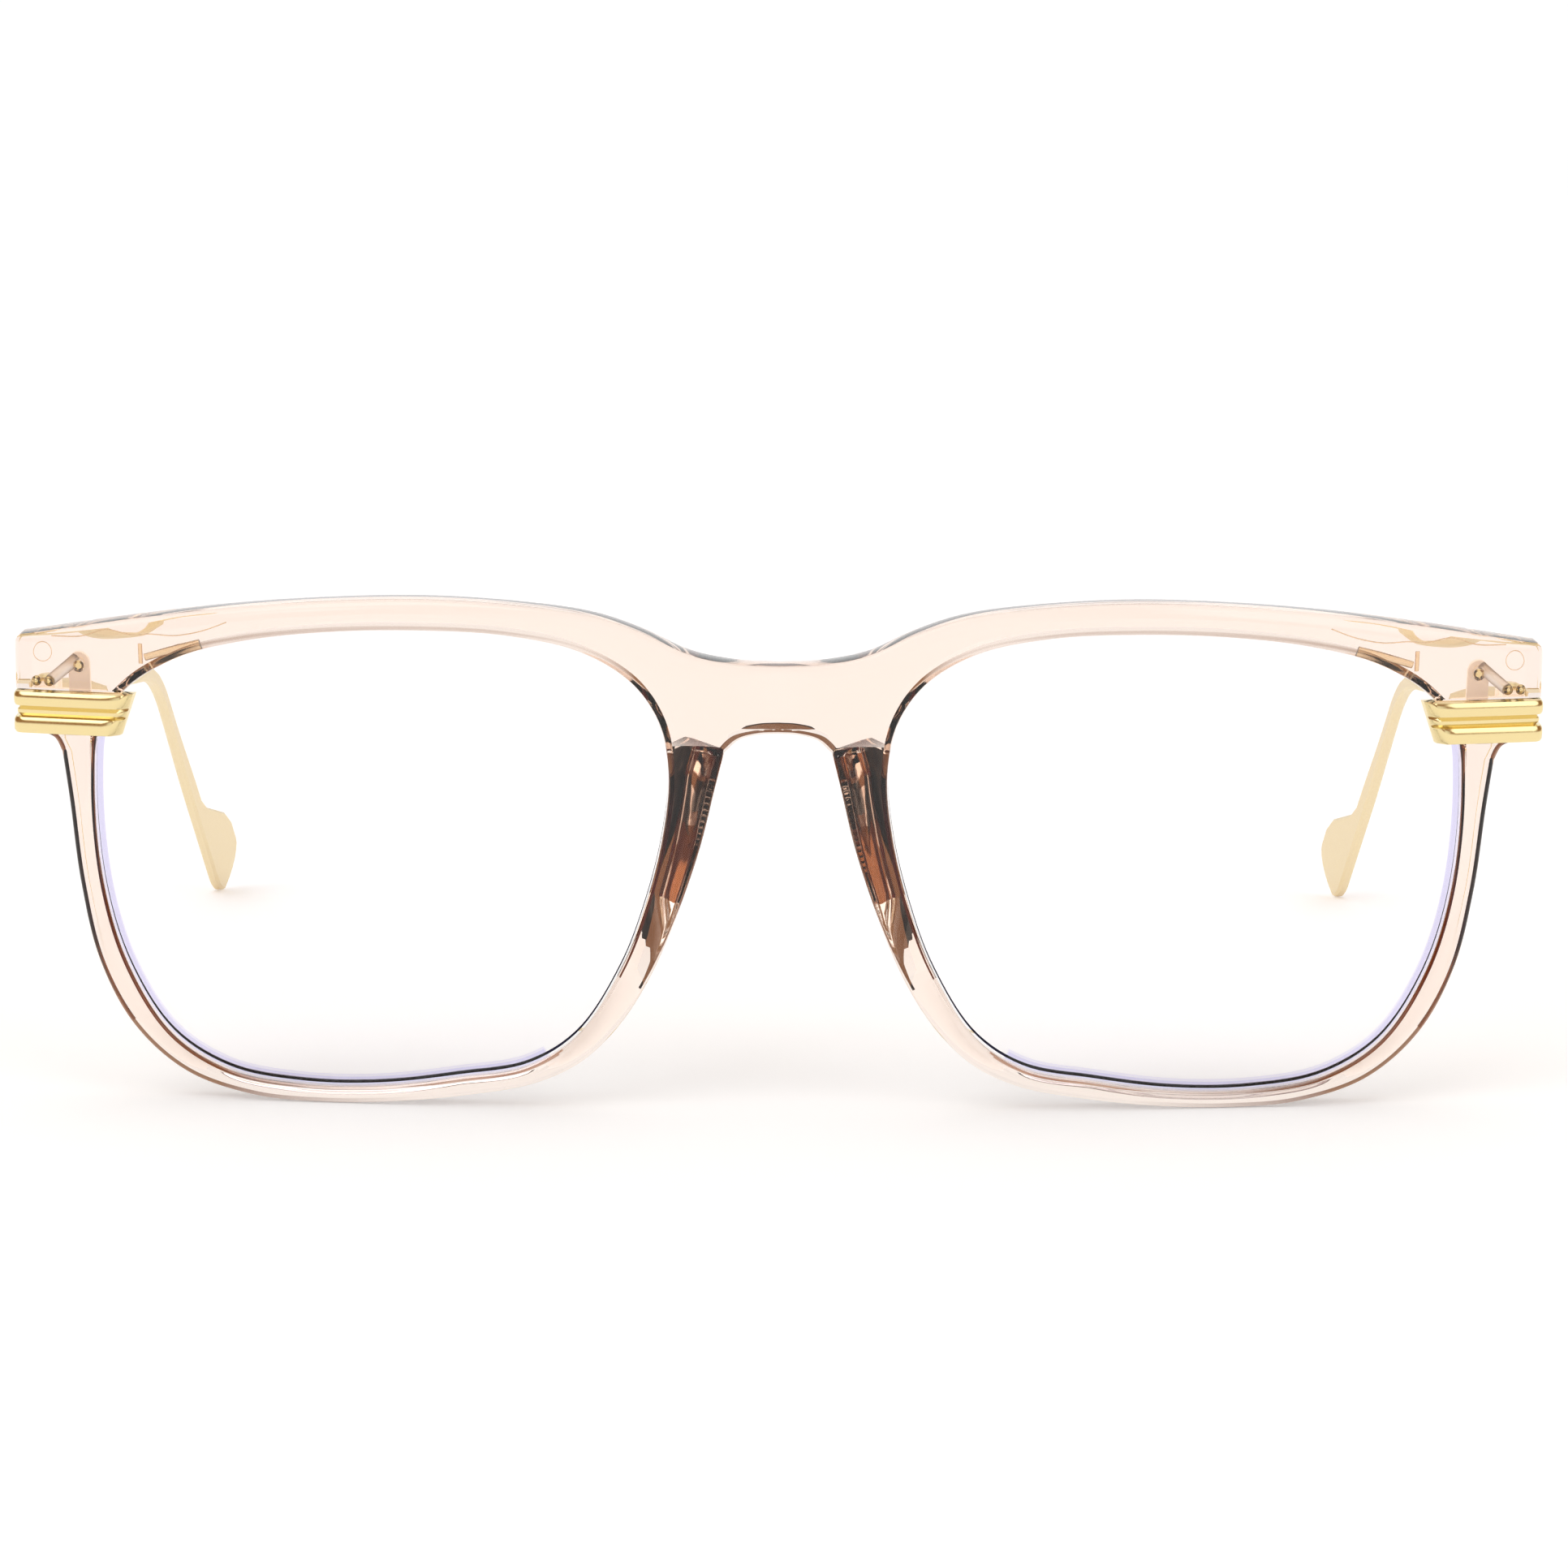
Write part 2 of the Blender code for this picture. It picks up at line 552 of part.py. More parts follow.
def arm_inset(back):
    """How far the temple has curved in towards the head at a distance behind its front end."""
    curved = min(back, INSET_STRAIGHT)
    slope = 2 * INSET_SQUARE * curved + 3 * INSET_CUBE * curved**2
    return INSET_SQUARE * curved**2 + INSET_CUBE * curved**3 + slope * (back - curved)


def arm_section(along, total):
    """(half thickness, reach below, reach above) of the temple at a length along it."""
    root = smooth_step(1 - along / 9.0)
    taper = smooth_step((along - 20) / 60)
    height = ARM_HEIGHT + (ARM_ROOT_HEIGHT - ARM_HEIGHT) * root + (EAR_HEIGHT - ARM_HEIGHT) * taper
    low = high = height / 2
    start = total - PADDLE_LENGTH
    high += (PADDLE_HEIGHT - EAR_HEIGHT) * smooth_step((along - start) / PADDLE_SHOULDER)
    left = total - along
    if left < PADDLE_END:
        cut = 1 - math.sqrt(max(0.0, 1 - (1 - left / PADDLE_END) ** 2))
        high -= cut * (PADDLE_HEIGHT * 0.75)
        low -= cut * EAR_HEIGHT * 0.5
    half = ARM_THICKNESS / 2 * (1 - 0.1 * taper)
    return half, max(low, 0.2), max(high, 0.2)


def arm_shape(side):
    """The temple arm, given straight in model millimetres."""
    stations = arm_line()
    total = stations[-1][0]
    pivot = hinge_point(1) / MM
    start_y, start_z = pivot.y + ARM_START, pivot.z
    rings = []
    for along, back, down, slope in stations:
        half, low, high = arm_section(along, total)
        centre = ARM_U - arm_inset(back)
        twist = PADDLE_TWIST * smooth_step((along - total + PADDLE_LENGTH + 22) / 20)
        bevel = min(0.25, half * 0.6)
        ring = []
        across = half - bevel
        outline = [(-half, -low + bevel), (-across, -low), (across, -low), (half, -low + bevel),
                   (half, high - bevel), (across, high), (-across, high), (-half, high - bevel)]
        for x, up in outline:
            y = start_y + back + up * math.sin(slope)
            z = start_z - down + up * math.cos(slope)
            lean = arm_inset(back + up * math.sin(slope)) - arm_inset(back) + twist * up
            ring.append((side * (centre + x - lean), y, z))
        rings.append(ring)
    return loft(rings)


def make_temple(side, hand, pivot, gold):
    """The moving temple: its arm with the paddle end, and its half of the hinge with the middle knuckle."""
    verts, faces = arm_shape(side)
    bm = mesh_from(verts, faces, 1, lambda x, y, z: Vector((x, y, z)) * MM)
    add(f"{hand}_temple_arm", bm, gold, pivot)
    low, high = HINGE_W - MIDDLE_KNUCKLE / 2, HINGE_W + MIDDLE_KNUCKLE / 2
    inner = ARM_U - ARM_THICKNESS / 2 - CLEARANCE
    leaf = block((inner - 0.7, inner), (low, high), (HINGE_V - 0.1, HINGE_V + 5.5))
    hinge = add(f"{hand}_temple_hinge", mesh_from(*leaf, side), gold)
    boolean(hinge, cylinder((HINGE_U, HINGE_V), KNUCKLE_RADIUS, low, high), "UNION", side, "knuckle")
    bore = cylinder((HINGE_U, HINGE_V), KNUCKLE_BORE, low - 1, high + 1)
    boolean(hinge, bore, "DIFFERENCE", side, "pin_bore")
    hinge.data.transform(pivot.matrix_world.inverted())
    hinge.parent = pivot


def lens_shape():
    """A lens in front coordinates: two curved faces and a bevelled edge that sits in the rim's groove."""
    lip = front_stations(1)[0]
    out = -normals_of(lip, True)
    centre = lip.mean(axis=0)
    near, far = LENS_FRONT_DEPTH, LENS_FRONT_DEPTH + LENS_THICKNESS
    middle = (near + far) / 2
    face_edge = lip - 0.1 * out
    apex = lip + (LENS_BEVEL - 0.02) * out
    levels = [(centre + (face_edge - centre) * s, near) for s in (0.35, 0.7, 1.0)]
    levels += [(apex, middle)]
    levels += [(centre + (face_edge - centre) * s, far) for s in (1.0, 0.7, 0.35)]
    rings = [[(u, w, v + sag(u)) for u, w in points] for points, v in levels]
    return loft(rings)


def main():
    for old in list(bpy.data.objects):
        bpy.data.objects.remove(old)
    clear = material("champagne_clear", (0.93, 0.80, 0.70), 0.08, 0.0, 0.45)
    lens = material("lens_clear", (0.93, 0.94, 1.0), 0.02, 0.0, 0.15)
    gold = material("pale_gold", (0.83, 0.65, 0.27), 0.22, 1.0)
    make_front(clear)
    for side, hand in ((1, "left"), (-1, "right")):
        pivot = bpy.data.objects.new(f"{hand}_hinge_axis", None)
        bpy.context.scene.collection.objects.link(pivot)
        pivot.matrix_world = Matrix.Translation(hinge_point(side)) @ Matrix.Rotation(FRONT_TILT, 4, "X")
        bpy.context.view_layer.update()
        add(f"{hand}_lens", mesh_from(*lens_shape(), side), lens)
        make_trim(side, f"{hand}_corner_trim", gold)
        make_plate(side, f"{hand}_hinge_plate", gold)
        make_screws(side, hand, gold)
        make_temple(side, hand, pivot, gold)


main()
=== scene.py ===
"""The finished look of the blue light glasses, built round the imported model.

The clear front, the lenses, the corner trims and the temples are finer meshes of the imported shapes. The
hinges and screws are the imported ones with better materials. The marks and fixings that show inside the
clear lobes are made here only.
"""

import math

import bmesh
import bpy
import numpy as np
from mathutils import Matrix, Vector


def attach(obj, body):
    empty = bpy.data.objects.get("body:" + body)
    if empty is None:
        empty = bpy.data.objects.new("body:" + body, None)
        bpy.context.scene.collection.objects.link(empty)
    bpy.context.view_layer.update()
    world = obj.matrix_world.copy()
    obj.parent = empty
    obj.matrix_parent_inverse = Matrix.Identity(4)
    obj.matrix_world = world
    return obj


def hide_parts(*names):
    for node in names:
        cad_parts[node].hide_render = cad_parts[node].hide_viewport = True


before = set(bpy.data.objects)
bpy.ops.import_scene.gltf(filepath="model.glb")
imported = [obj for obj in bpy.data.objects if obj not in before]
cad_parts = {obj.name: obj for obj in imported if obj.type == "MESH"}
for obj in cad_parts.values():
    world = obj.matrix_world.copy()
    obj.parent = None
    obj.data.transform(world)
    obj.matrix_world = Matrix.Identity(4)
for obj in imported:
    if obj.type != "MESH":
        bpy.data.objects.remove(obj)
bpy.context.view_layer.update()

MM = 0.001

# Driving dimensions, in millimetres and degrees
FACE_FORM_RADIUS = 300.0
FRONT_TILT = math.radians(4.0)
FRONT_Y = -71.5
FRONT_Z = -0.225
FRONT_THICKNESS = 4.0
FRONT_CROWN = 0.2
EDGE_ROUND, BACK_ROUND = 0.5, 0.65
LIP_ROUND = 0.3

LENS_THICKNESS = 1.8
LENS_FRONT_DEPTH = 1.3
LENS_BEVEL = 0.55
LENS_GAP = 0.12
GROOVE_HALF_WIDTH = 0.75

PAD_TOP = 34.0
PAD_BOTTOM = 12.5
PAD_DEPTH = 3.8
PAD_SLOPE = 0.36
PAD_FLAT = 0.3

TRIM_BOTTOM, TRIM_TOP = 34.15, 38.15
TRIM_OUTER = 71.2
TRIM_PROUD = 1.0
TRIM_SEAT_DEPTH = 1.2
TRIM_SIDE_THICKNESS = 1.4
TRIM_CORNER_RADIUS = 1.1
TRIM_REAR = 14.7
CLEARANCE = 0.08
SHARP_ANGLE = 40

HINGE_U, HINGE_V, HINGE_W = 68.4, 15.4, 36.15
POST_U, POST_W, POST_RADIUS = 66.0, 36.15, 1.1
EAR_U, EAR_W, EAR_BORE, EAR_HOLE_START = 65.0, 40.4, 0.56, 1.6
HOLE_END = 20.0

ARM_U, ARM_START = 70.45, 0.0
ARM_THICKNESS, ARM_ROOT_HEIGHT = 1.3, 3.9
ARM_HEIGHT, EAR_HEIGHT = 2.4, 1.7
ARM_SLOPE, EAR_SLOPE = math.radians(4.0), math.radians(34.0)
ARM_STRAIGHT, BEND_RADIUS, EAR_STRAIGHT = 78.0, 30.0, 46.85
INSET_SQUARE, INSET_CUBE, INSET_STRAIGHT = 8.9e-5, 9.9e-7, 104.0
PADDLE_LENGTH, PADDLE_HEIGHT, END_STEPS = 22.0, 5.9, 6
PADDLE_SHOULDER, PADDLE_END, PADDLE_TWIST = 14.0, 4.0, 0.3
BEND_STEPS, SHOULDER_STEPS = 8, 4

# How finely the front is meshed, and where its section's runs of points start and end
FRONT_SCALE, FRONT_STEPS = 5, 5
BACK_LAST = FRONT_STEPS
LIP_FIRST, LIP_LAST = FRONT_STEPS + 3, 2 * FRONT_STEPS + 2
EDGE_FIRST = LIP_LAST + 2 * FRONT_SCALE
WALL_FIRST, WALL_LAST = EDGE_FIRST + FRONT_STEPS - 1, EDGE_FIRST + 2 * FRONT_STEPS - 1
RING_SIZE = WALL_LAST + 2 * FRONT_SCALE

# Where the front's faces take painted shade, a deeper colour: across from the middle (u) and up (w)
NOSE_REACH, PAD_REACH, SIDE_START = 13.0, 12.0, 20.0
NOSE_LOW, ARCH_TOP = PAD_BOTTOM - 1.5, 36.5
PAD_BACK_LOW, PAD_BACK_HIGH = PAD_BOTTOM + 1.0, PAD_TOP - 0.3
BACK_ROUND_LOW = 7.0
EDGE_TOP, LIP_TOP = TRIM_BOTTOM + 1.5, TRIM_BOTTOM + 2.0

# Lip of the wearer's left lens opening (u, w), clockwise from above the pupil as the wearer's front is seen
LENS_OUTLINE = [
    (33.5, 44.9), (42.0, 44.5), (49.5, 43.45), (55.4, 41.8), (60.2, 38.9), (63.0, 35.3),
    (63.7, 29.5), (62.9, 19.5), (60.6, 12.0), (56.6, 5.9), (51.2, 2.7), (44.5, 1.65), (37.0, 1.75),
    (29.5, 2.8), (23.0, 4.1), (18.4, 7.2), (14.4, 13.6), (12.2, 19.5), (10.6, 26.0), (10.05, 32.0),
    (11.0, 36.8), (13.6, 40.5), (18.2, 43.2), (25.0, 44.6),
]
# Outer edge of the front, in stretches from the middle of the bridge outwards and round to the middle again
TOP_EDGE = [(0.0, 42.05), (4.0, 42.25), (8.2, 43.1), (12.5, 45.05), (17.0, 46.5), (23.5, 47.35),
            (32.5, 47.75), (42.0, 47.35), (50.8, 46.5), (60.0, 45.15), (70.1, 43.35)]
LOBE_EDGE = (71.1, 42.45, 34.9)
LOBE_FLOOR = 34.1
RIM_EDGE = [(66.75, 32.4), (66.15, 28.0), (65.2, 20.0), (63.5, 12.6), (60.3, 6.6), (55.4, 2.4), (49.0, 0.4),
            (42.5, 0.0), (35.5, 0.3), (28.5, 1.15), (22.5, 2.4), (18.2, 4.5), (14.6, 8.1), (11.7, 12.8),
            (9.2, 18.8), (7.15, 25.0), (5.7, 31.0), (4.95, PAD_TOP)]
ARCH_EDGE = [(4.95, PAD_TOP), (3.6, 35.2), (1.8, 35.7), (0.0, 35.8)]

# What shows inside the clear lobes, as (u, w) points with depths behind the front's curved face
FLOW_LINE = [(67.5, 43.3), (64.7, 43.4), (62.3, 44.1), (59.8, 43.7), (58.2, 43.85), (55.8, 43.8),
             (53.3, 44.3), (50.9, 45.2)]
FLOW_LINE_DEPTH, FLOW_LINE_RADIUS = 0.12, 0.05
GATE_BAR = [(58.7, 41.5), (55.5, 42.55), (53.5, 43.1)]
GATE_STUB = [(59.1, 40.9), (59.1, 42.7)]
GATE_DEPTH, GATE_BAR_RADIUS, GATE_STUB_RADIUS = 2.2, 0.33, 0.2
PIN_MARK, PIN_MARK_RADIUS, PIN_MARK_DEPTH, PIN_MARK_LINE = (68.4, 41.4), 0.85, 3.2, 0.035
BOSS_REAR, BOSS_REAR_DEPTH = (65.2, 40.9), 3.4
BOSS_FRONT, BOSS_FRONT_DEPTH = (67.7, 39.0), 1.0
BOSS_RADIUS = 0.55
RIVETS, RIVET_DEPTH, RIVET_RADIUS = [(69.0, 38.95), (67.8, 38.95)], 0.9, 0.5

# The violet painted on a lens's rim, a painted reflection of its coating: how far in it reaches, the way it
# faces (u, w), and the bands of faces it is on
VIOLET_BAND = 0.7
VIOLET_SIDE, VIOLET_REACH = np.array((0.75, -0.66)), 0.2
RIM_LEVELS = (2, 3, 4, 5)

# Looks
PLASTIC_IOR, LENS_IOR = 1.49, 1.5
PLASTIC_SURFACE = (1.0, 0.985, 0.975, 1.0)
PLASTIC_TINT = (0.83, 0.50, 0.25, 1.0)
PLASTIC_DENSITY = 82.0
# Painted shade: the dark amber on the nose pads and under the arch
PAD_SHADE_COLOUR = (0.13, 0.026, 0.005, 1.0)
# Painted shade: the brown on the rims' outer edges, where refraction shows the dark sides
EDGE_SHADE_COLOUR = (0.22, 0.075, 0.028, 1.0)
EDGE_FADE = (0.033, 0.052)
DIM_SIDES = (0.32, 0.17, 0.08, 1.0)
WHITE = (1.0, 1.0, 1.0, 1.0)
BRIGHT_BEHIND, BRIGHT_ABOVE = (0.45, 0.80), (0.55, 0.85)
SOFTBOX_FADE = 0.03
SOFTBOXES = [
    ((-0.45, -0.6, 0.62), 0.93, 2.0),
    ((0.6, -0.66, 0.40), 0.95, 1.6),
    ((0.0, -1.0, 0.12), 0.985, 0.9),
]
WORLD_STRENGTH = 1.02
FLOOR_SIZE, FLOOR_MIDDLE = 12.0, (0, 3.0, 0)
FLOOR_COLOUR, FLOOR_GLOW = (0.97, 0.97, 0.97, 1.0), 0.18
CAMERA_SENSOR, CAMERA_LENS = 36.0, 120.4
CAMERA_PLACE = (0.00056, FRONT_Y * MM - 0.4802, 0.089)
CAMERA_DOWN, CAMERA_ROLL = math.radians(6.93), math.radians(0.35)


def sag(u):
    return u * u / (2 * FACE_FORM_RADIUS)


def smooth_step(t):
    t = min(1.0, max(0.0, t))
    return t * t * (3 - 2 * t)


def spline(points, closed=False, steps=24):
    """A centripetal Catmull-Rom curve through the points, as a dense array."""
    p = [np.array(q, float) for q in points]
    if closed:
        p = [p[-1], *p, p[0], p[1]]
    else:
        p = [2 * p[0] - p[1], *p, 2 * p[-1] - p[-2]]
    found = []
    for a, b, c, d in zip(p, p[1:], p[2:], p[3:]):
        t0 = 0.0
        t1 = t0 + math.sqrt(np.linalg.norm(b - a))
        t2 = t1 + math.sqrt(np.linalg.norm(c - b))
        t3 = t2 + math.sqrt(np.linalg.norm(d - c))
        for t in np.linspace(t1, t2, steps, endpoint=False):
            ab = (t1 - t) / (t1 - t0) * a + (t - t0) / (t1 - t0) * b
            bc = (t2 - t) / (t2 - t1) * b + (t - t1) / (t2 - t1) * c
            cd = (t3 - t) / (t3 - t2) * c + (t - t2) / (t3 - t2) * d
            abc = (t2 - t) / (t2 - t0) * ab + (t - t0) / (t2 - t0) * bc
            bcd = (t3 - t) / (t3 - t1) * bc + (t - t1) / (t3 - t1) * cd
            found.append((t2 - t) / (t2 - t1) * abc + (t - t1) / (t2 - t1) * bcd)
    if not closed:
        found.append(p[-2])
    return np.array(found)


def arc(centre, radius, start, end, steps=12):
    angles = np.radians(np.linspace(start, end, steps))
    return np.array(centre) + radius * np.column_stack([np.cos(angles), np.sin(angles)])


def resample(curve, count):
    """count points evenly spaced along a polyline, its first point included and its last left out."""
    steps = np.linalg.norm(np.diff(curve, axis=0), axis=1)
    along = np.concatenate([[0], np.cumsum(steps)])
    wanted = np.linspace(0, along[-1], count, endpoint=False)
    return np.column_stack([np.interp(wanted, along, curve[:, k]) for k in range(2)])


def normals_of(points, closed):
    """Unit normals in the plane, to the right of the way the points run."""
    if closed:
        ahead = np.roll(points, -1, axis=0) - np.roll(points, 1, axis=0)
    else:
        ahead = np.gradient(points, axis=0)
    ahead /= np.linalg.norm(ahead, axis=1)[:, None]
    return np.column_stack([ahead[:, 1], -ahead[:, 0]])


def between(closed_curve, start, end):
    """The stretch of a dense closed curve from the point nearest start to the point nearest end."""
    i = int(np.argmin(np.linalg.norm(closed_curve - start, axis=1)))
    j = int(np.argmin(np.linalg.norm(closed_curve - end, axis=1)))
    if j <= i:
        j += len(closed_curve)
    return closed_curve[np.arange(i, j + 1) % len(closed_curve)]


def front_stations(scale):
    """Matching points on the lens lip and on the outer edge, all round one eye: (lip, edge, kind)."""
    lip = spline(LENS_OUTLINE, closed=True)
    top = spline(TOP_EDGE)
    lobe_u, lobe_high, lobe_low = LOBE_EDGE
    corner_high = arc((lobe_u - 0.9, lobe_high), 0.9, 78, 0)
    corner_low = arc((lobe_u - 0.8, lobe_low), 0.8, 0, -90)
    floor = spline([(lobe_u - 0.8, LOBE_FLOOR), (69.0, LOBE_FLOOR), (67.5, 33.7), RIM_EDGE[0]])
    middle = np.array([ARCH_EDGE[-1], TOP_EDGE[0]])
    stretches = [
        (top[: 24 * 4], (12.4, 39.2), (18.2, 43.2), 6, "edge"),
        (top[24 * 4 - 1 : 24 * 9], (18.2, 43.2), (56.0, 41.5), 12, "edge"),
        (top[24 * 9 - 1 :], (56.0, 41.5), (60.3, 38.8), 4, "edge"),
        (corner_high, (60.3, 38.8), (61.2, 37.9), 3, "edge"),
        (np.array([corner_high[-1], corner_low[0]]), (61.2, 37.9), (62.9, 35.5), 3, "edge"),
        (corner_low, (62.9, 35.5), (63.15, 34.8), 3, "edge"),
        (floor, (63.15, 34.8), (63.6, 32.4), 4, "edge"),
        (spline(RIM_EDGE), (63.6, 32.4), (10.3, PAD_TOP), 38, "edge"),
        (spline(ARCH_EDGE), (10.3, PAD_TOP), (10.9, 36.5), 5, "edge"),
        (middle, (10.9, 36.5), (12.4, 39.2), 4, "middle"),
    ]
    lips, edges, kinds = [], [], []
    for outer, start, end, count, kind in stretches:
        count *= scale
        lips.append(resample(between(lip, start, end), count))
        edges.append(resample(outer, count))
        kinds += [kind] * count
    return np.vstack(lips), np.vstack(edges), kinds


def pad_height(w):
    """How far the moulded nose pad stands behind the rim at height w."""
    if not PAD_BOTTOM < w < PAD_TOP - 1e-3:
        return 0.0
    share = (w - PAD_BOTTOM) / (PAD_TOP - PAD_BOTTOM)
    return PAD_DEPTH * math.sin(min(1.0, share * 1.5) * math.pi / 2)


def fillet(way, radius, depth, steps):
    """A quarter round (across, depth) from a wall to the face at depth. way is 1 in front and -1 behind."""
    angles = np.linspace(0, math.pi / 2, steps)
    return [(radius * (1 - math.cos(t)), depth + way * radius * (1 - math.sin(t))) for t in angles]


def front_profile(pad, width, steps):
    """The rim's section in two runs: (in from the lip, depth) and (in from the outer edge, depth)."""
    deep = FRONT_THICKNESS + pad
    back_round = BACK_ROUND + 0.05 * pad
    groove_mid = LENS_FRONT_DEPTH + LENS_THICKNESS / 2
    g = GROOVE_HALF_WIDTH + LENS_GAP
    lip = fillet(-1, LIP_ROUND, deep, steps)[::-1]
    lip += [(0.0, groove_mid + g), (LENS_BEVEL + LENS_GAP, groove_mid), (0.0, groove_mid - g)]
    lip += fillet(1, LIP_ROUND, 0.0, steps)
    wall = fillet(1, EDGE_ROUND, 0.0, steps)[::-1]
    wall += fillet(-1, back_round, deep, steps)
    room = (width - LIP_ROUND - back_round - PAD_FLAT) / deep
    lean = min(PAD_SLOPE * pad / PAD_DEPTH, max(0.0, room))
    wall = [(across + lean * max(0.0, depth - 0.6), depth) for across, depth in wall]
    return lip, wall


def front_half(scale, steps):
    """Vertices and faces of the wearer's left half of the front, in front coordinates, open at u = 0."""
    lip, edge, kinds = front_stations(scale)
    count = len(lip)
    lip_out = -normals_of(lip, True)
    on_edge = [k for k in range(count) if kinds[k] == "edge"]
    edge_in = np.zeros((count, 2))
    edge_in[on_edge] = normals_of(edge[on_edge], False)
    edge_in[0] = (0.0, -1.0)
    first_middle = on_edge[-1] + 1
    edge_in[first_middle] = (0.0, 1.0)
    low, high = edge[first_middle].copy(), edge[0].copy()
    for k in range(first_middle + 1, count):
        share = (k - first_middle) / (count - first_middle)
        edge[k] = low + (0, EDGE_ROUND) + share * (high - low - (0, 2 * EDGE_ROUND))
    shares = np.linspace(0, 1, 2 * scale + 1)[1:-1]
    rings = []
    for k in range(count):
        on_pad = lip[k][0] < 20 and edge[k][0] < 16
        pad = pad_height((lip[k][1] + edge[k][1]) / 2) if on_pad else 0.0
        lip_run, wall_run = front_profile(pad, np.linalg.norm(lip[k] - edge[k]), steps)
        inner = [(*(lip[k] + d * lip_out[k]), v) for d, v in lip_run]
        if kinds[k] == "edge" or k == first_middle:
            wall = [(*(edge[k] + d * edge_in[k]), v) for d, v in wall_run]
        else:
            wall = [(*edge[k], v) for _, v in wall_run]
        front = [tuple(np.array(inner[-1]) * (1 - s) + np.array(wall[0]) * s) for s in shares]
        front = [(u, w, v - FRONT_CROWN * 4 * s * (1 - s)) for (u, w, v), s in zip(front, shares)]
        back = [tuple(np.array(wall[-1]) * (1 - s) + np.array(inner[0]) * s) for s in shares]
        rings.append(inner + front + wall + back)
    size = len(rings[0])
    verts = [(u, w, v + sag(u)) for ring in rings for u, w, v in ring]
    faces = []
    for k in range(count):
        j = (k + 1) % count
        for m in range(size):
            n = (m + 1) % size
            face = (k * size + m, k * size + n, j * size + n, j * size + m)
            if max(abs(verts[i][0]) for i in face) > 1e-6:
                faces.append(face)
    return verts, faces


def to_model(u, w, v):
    """Front coordinates in millimetres to model coordinates in metres."""
    y = FRONT_Y + v * math.cos(FRONT_TILT) - w * math.sin(FRONT_TILT)
    z = FRONT_Z + v * math.sin(FRONT_TILT) + w * math.cos(FRONT_TILT)
    return Vector((u, y, z)) * MM


def mesh_from(verts, faces, side=1, place=to_model):
    """A bmesh of points given in front coordinates. side -1 mirrors it to the wearer's right."""
    bm = bmesh.new()
    points = [place(side * u, w, v) for u, w, v in verts]
    made = [bm.verts.new(p) for p in points]
    for face in faces:
        if len(set(face)) == len(face):
            bm.faces.new([made[i] for i in face])
    return bm


def loft(rings):
    """Faces that join equal rings of points one after another, with both ends filled."""
    size = len(rings[0])
    faces = [(k * size + m, k * size + (m + 1) % size, (k + 1) * size + (m + 1) % size, (k + 1) * size + m)
             for k in range(len(rings) - 1) for m in range(size)]
    last = (len(rings) - 1) * size
    faces.append(tuple(range(size)))
    faces.append(tuple(last + m for m in reversed(range(size))))
    return [p for ring in rings for p in ring], faces


def cylinder(centre, radius, start, end, steps):
    """A round bar in front coordinates, round (u, w) and from one depth to another."""
    rings = []
    for depth in (start, end):
        ring = []
        for k in range(steps):
            angle = 2 * math.pi * k / steps
            ring.append((centre[0] + radius * math.cos(angle), centre[1] + radius * math.sin(angle), depth))
        rings.append(ring)
    return loft(rings)


def trim_path(inset):
    """The corner trim's line in plan, inset from its outer surface: (u, v, outward u, outward v)."""
    corner = TRIM_OUTER - TRIM_CORNER_RADIUS
    stations = []
    for u in [u for u, _ in TRIM_INNER_END] + list(np.linspace(62.8, corner, 4)):
        slope = u / FACE_FORM_RADIUS
        n = np.array([slope, -1.0]) / math.hypot(slope, 1.0)
        stations.append((u, sag(u) - TRIM_PROUD, *n))
    centre = (corner, sag(corner) - TRIM_PROUD + TRIM_CORNER_RADIUS)
    for angle in np.radians([-60, -40, -20, 0]):
        n = (math.cos(angle), math.sin(angle))
        stations.append((centre[0] + TRIM_CORNER_RADIUS * n[0], centre[1] + TRIM_CORNER_RADIUS * n[1], *n))
    stations.append((TRIM_OUTER, TRIM_REAR, 1.0, 0.0))
    return [(u - inset * nu, v - inset * nv, nu, nv) for u, v, nu, nv in stations]


# The trim's ridged face (height above its surface, w): two rounded bars with a fine ridge sunk between them
RIDGES = [(-0.45, TRIM_BOTTOM), (-0.14, 34.22), (0.0, 34.45), (0.04, 34.95), (0.0, 35.45), (-0.12, 35.68),
          (-0.55, 35.78), (-0.42, 35.95), (-0.3, 36.08), (-0.3, 36.38), (-0.42, 36.5), (-0.55, 36.68),
          (-0.12, 36.78), (0.0, 37.0), (0.04, 37.45), (0.0, 37.85), (-0.14, 38.08), (-0.45, TRIM_TOP)]
TRIM_INNER_END = [(60.1, 0.95), (60.7, 0.14), (61.0, 0.0)]


def trim_end(w):
    """Where the trim's inner end lies at height w: it follows the lens opening."""
    return 0.34 * (TRIM_TOP - w)


def trim_shape():
    rings = []
    front_depth = TRIM_PROUD + TRIM_SEAT_DEPTH
    stations = trim_path(0.0)
    ends = len(TRIM_INNER_END)
    for k, (u, v, nu, nv) in enumerate(stations):
        on_front = nv < -0.9
        thinning = 0.0 if on_front else min(1.0, nu / 0.9)
        depth = front_depth + (TRIM_SIDE_THICKNESS - front_depth) * thinning
        sunk = TRIM_INNER_END[k][1] if k < ends else 0.0
        ring = []
        for e, w in RIDGES:
            shift = trim_end(w) if k < ends else 0.0
            bend = (sag(u + shift) - sag(u)) * on_front
            ring.append((u + nu * (e - sunk) + shift, w, v + bend + nv * (e - sunk)))
        for w in (TRIM_TOP, TRIM_BOTTOM):
            shift = trim_end(w) if k < ends else 0.0
            bend = (sag(u + shift) - sag(u)) * on_front
            ring.append((u - nu * depth + shift, w, v + bend - nv * depth))
        rings.append(ring)
    return loft(rings)


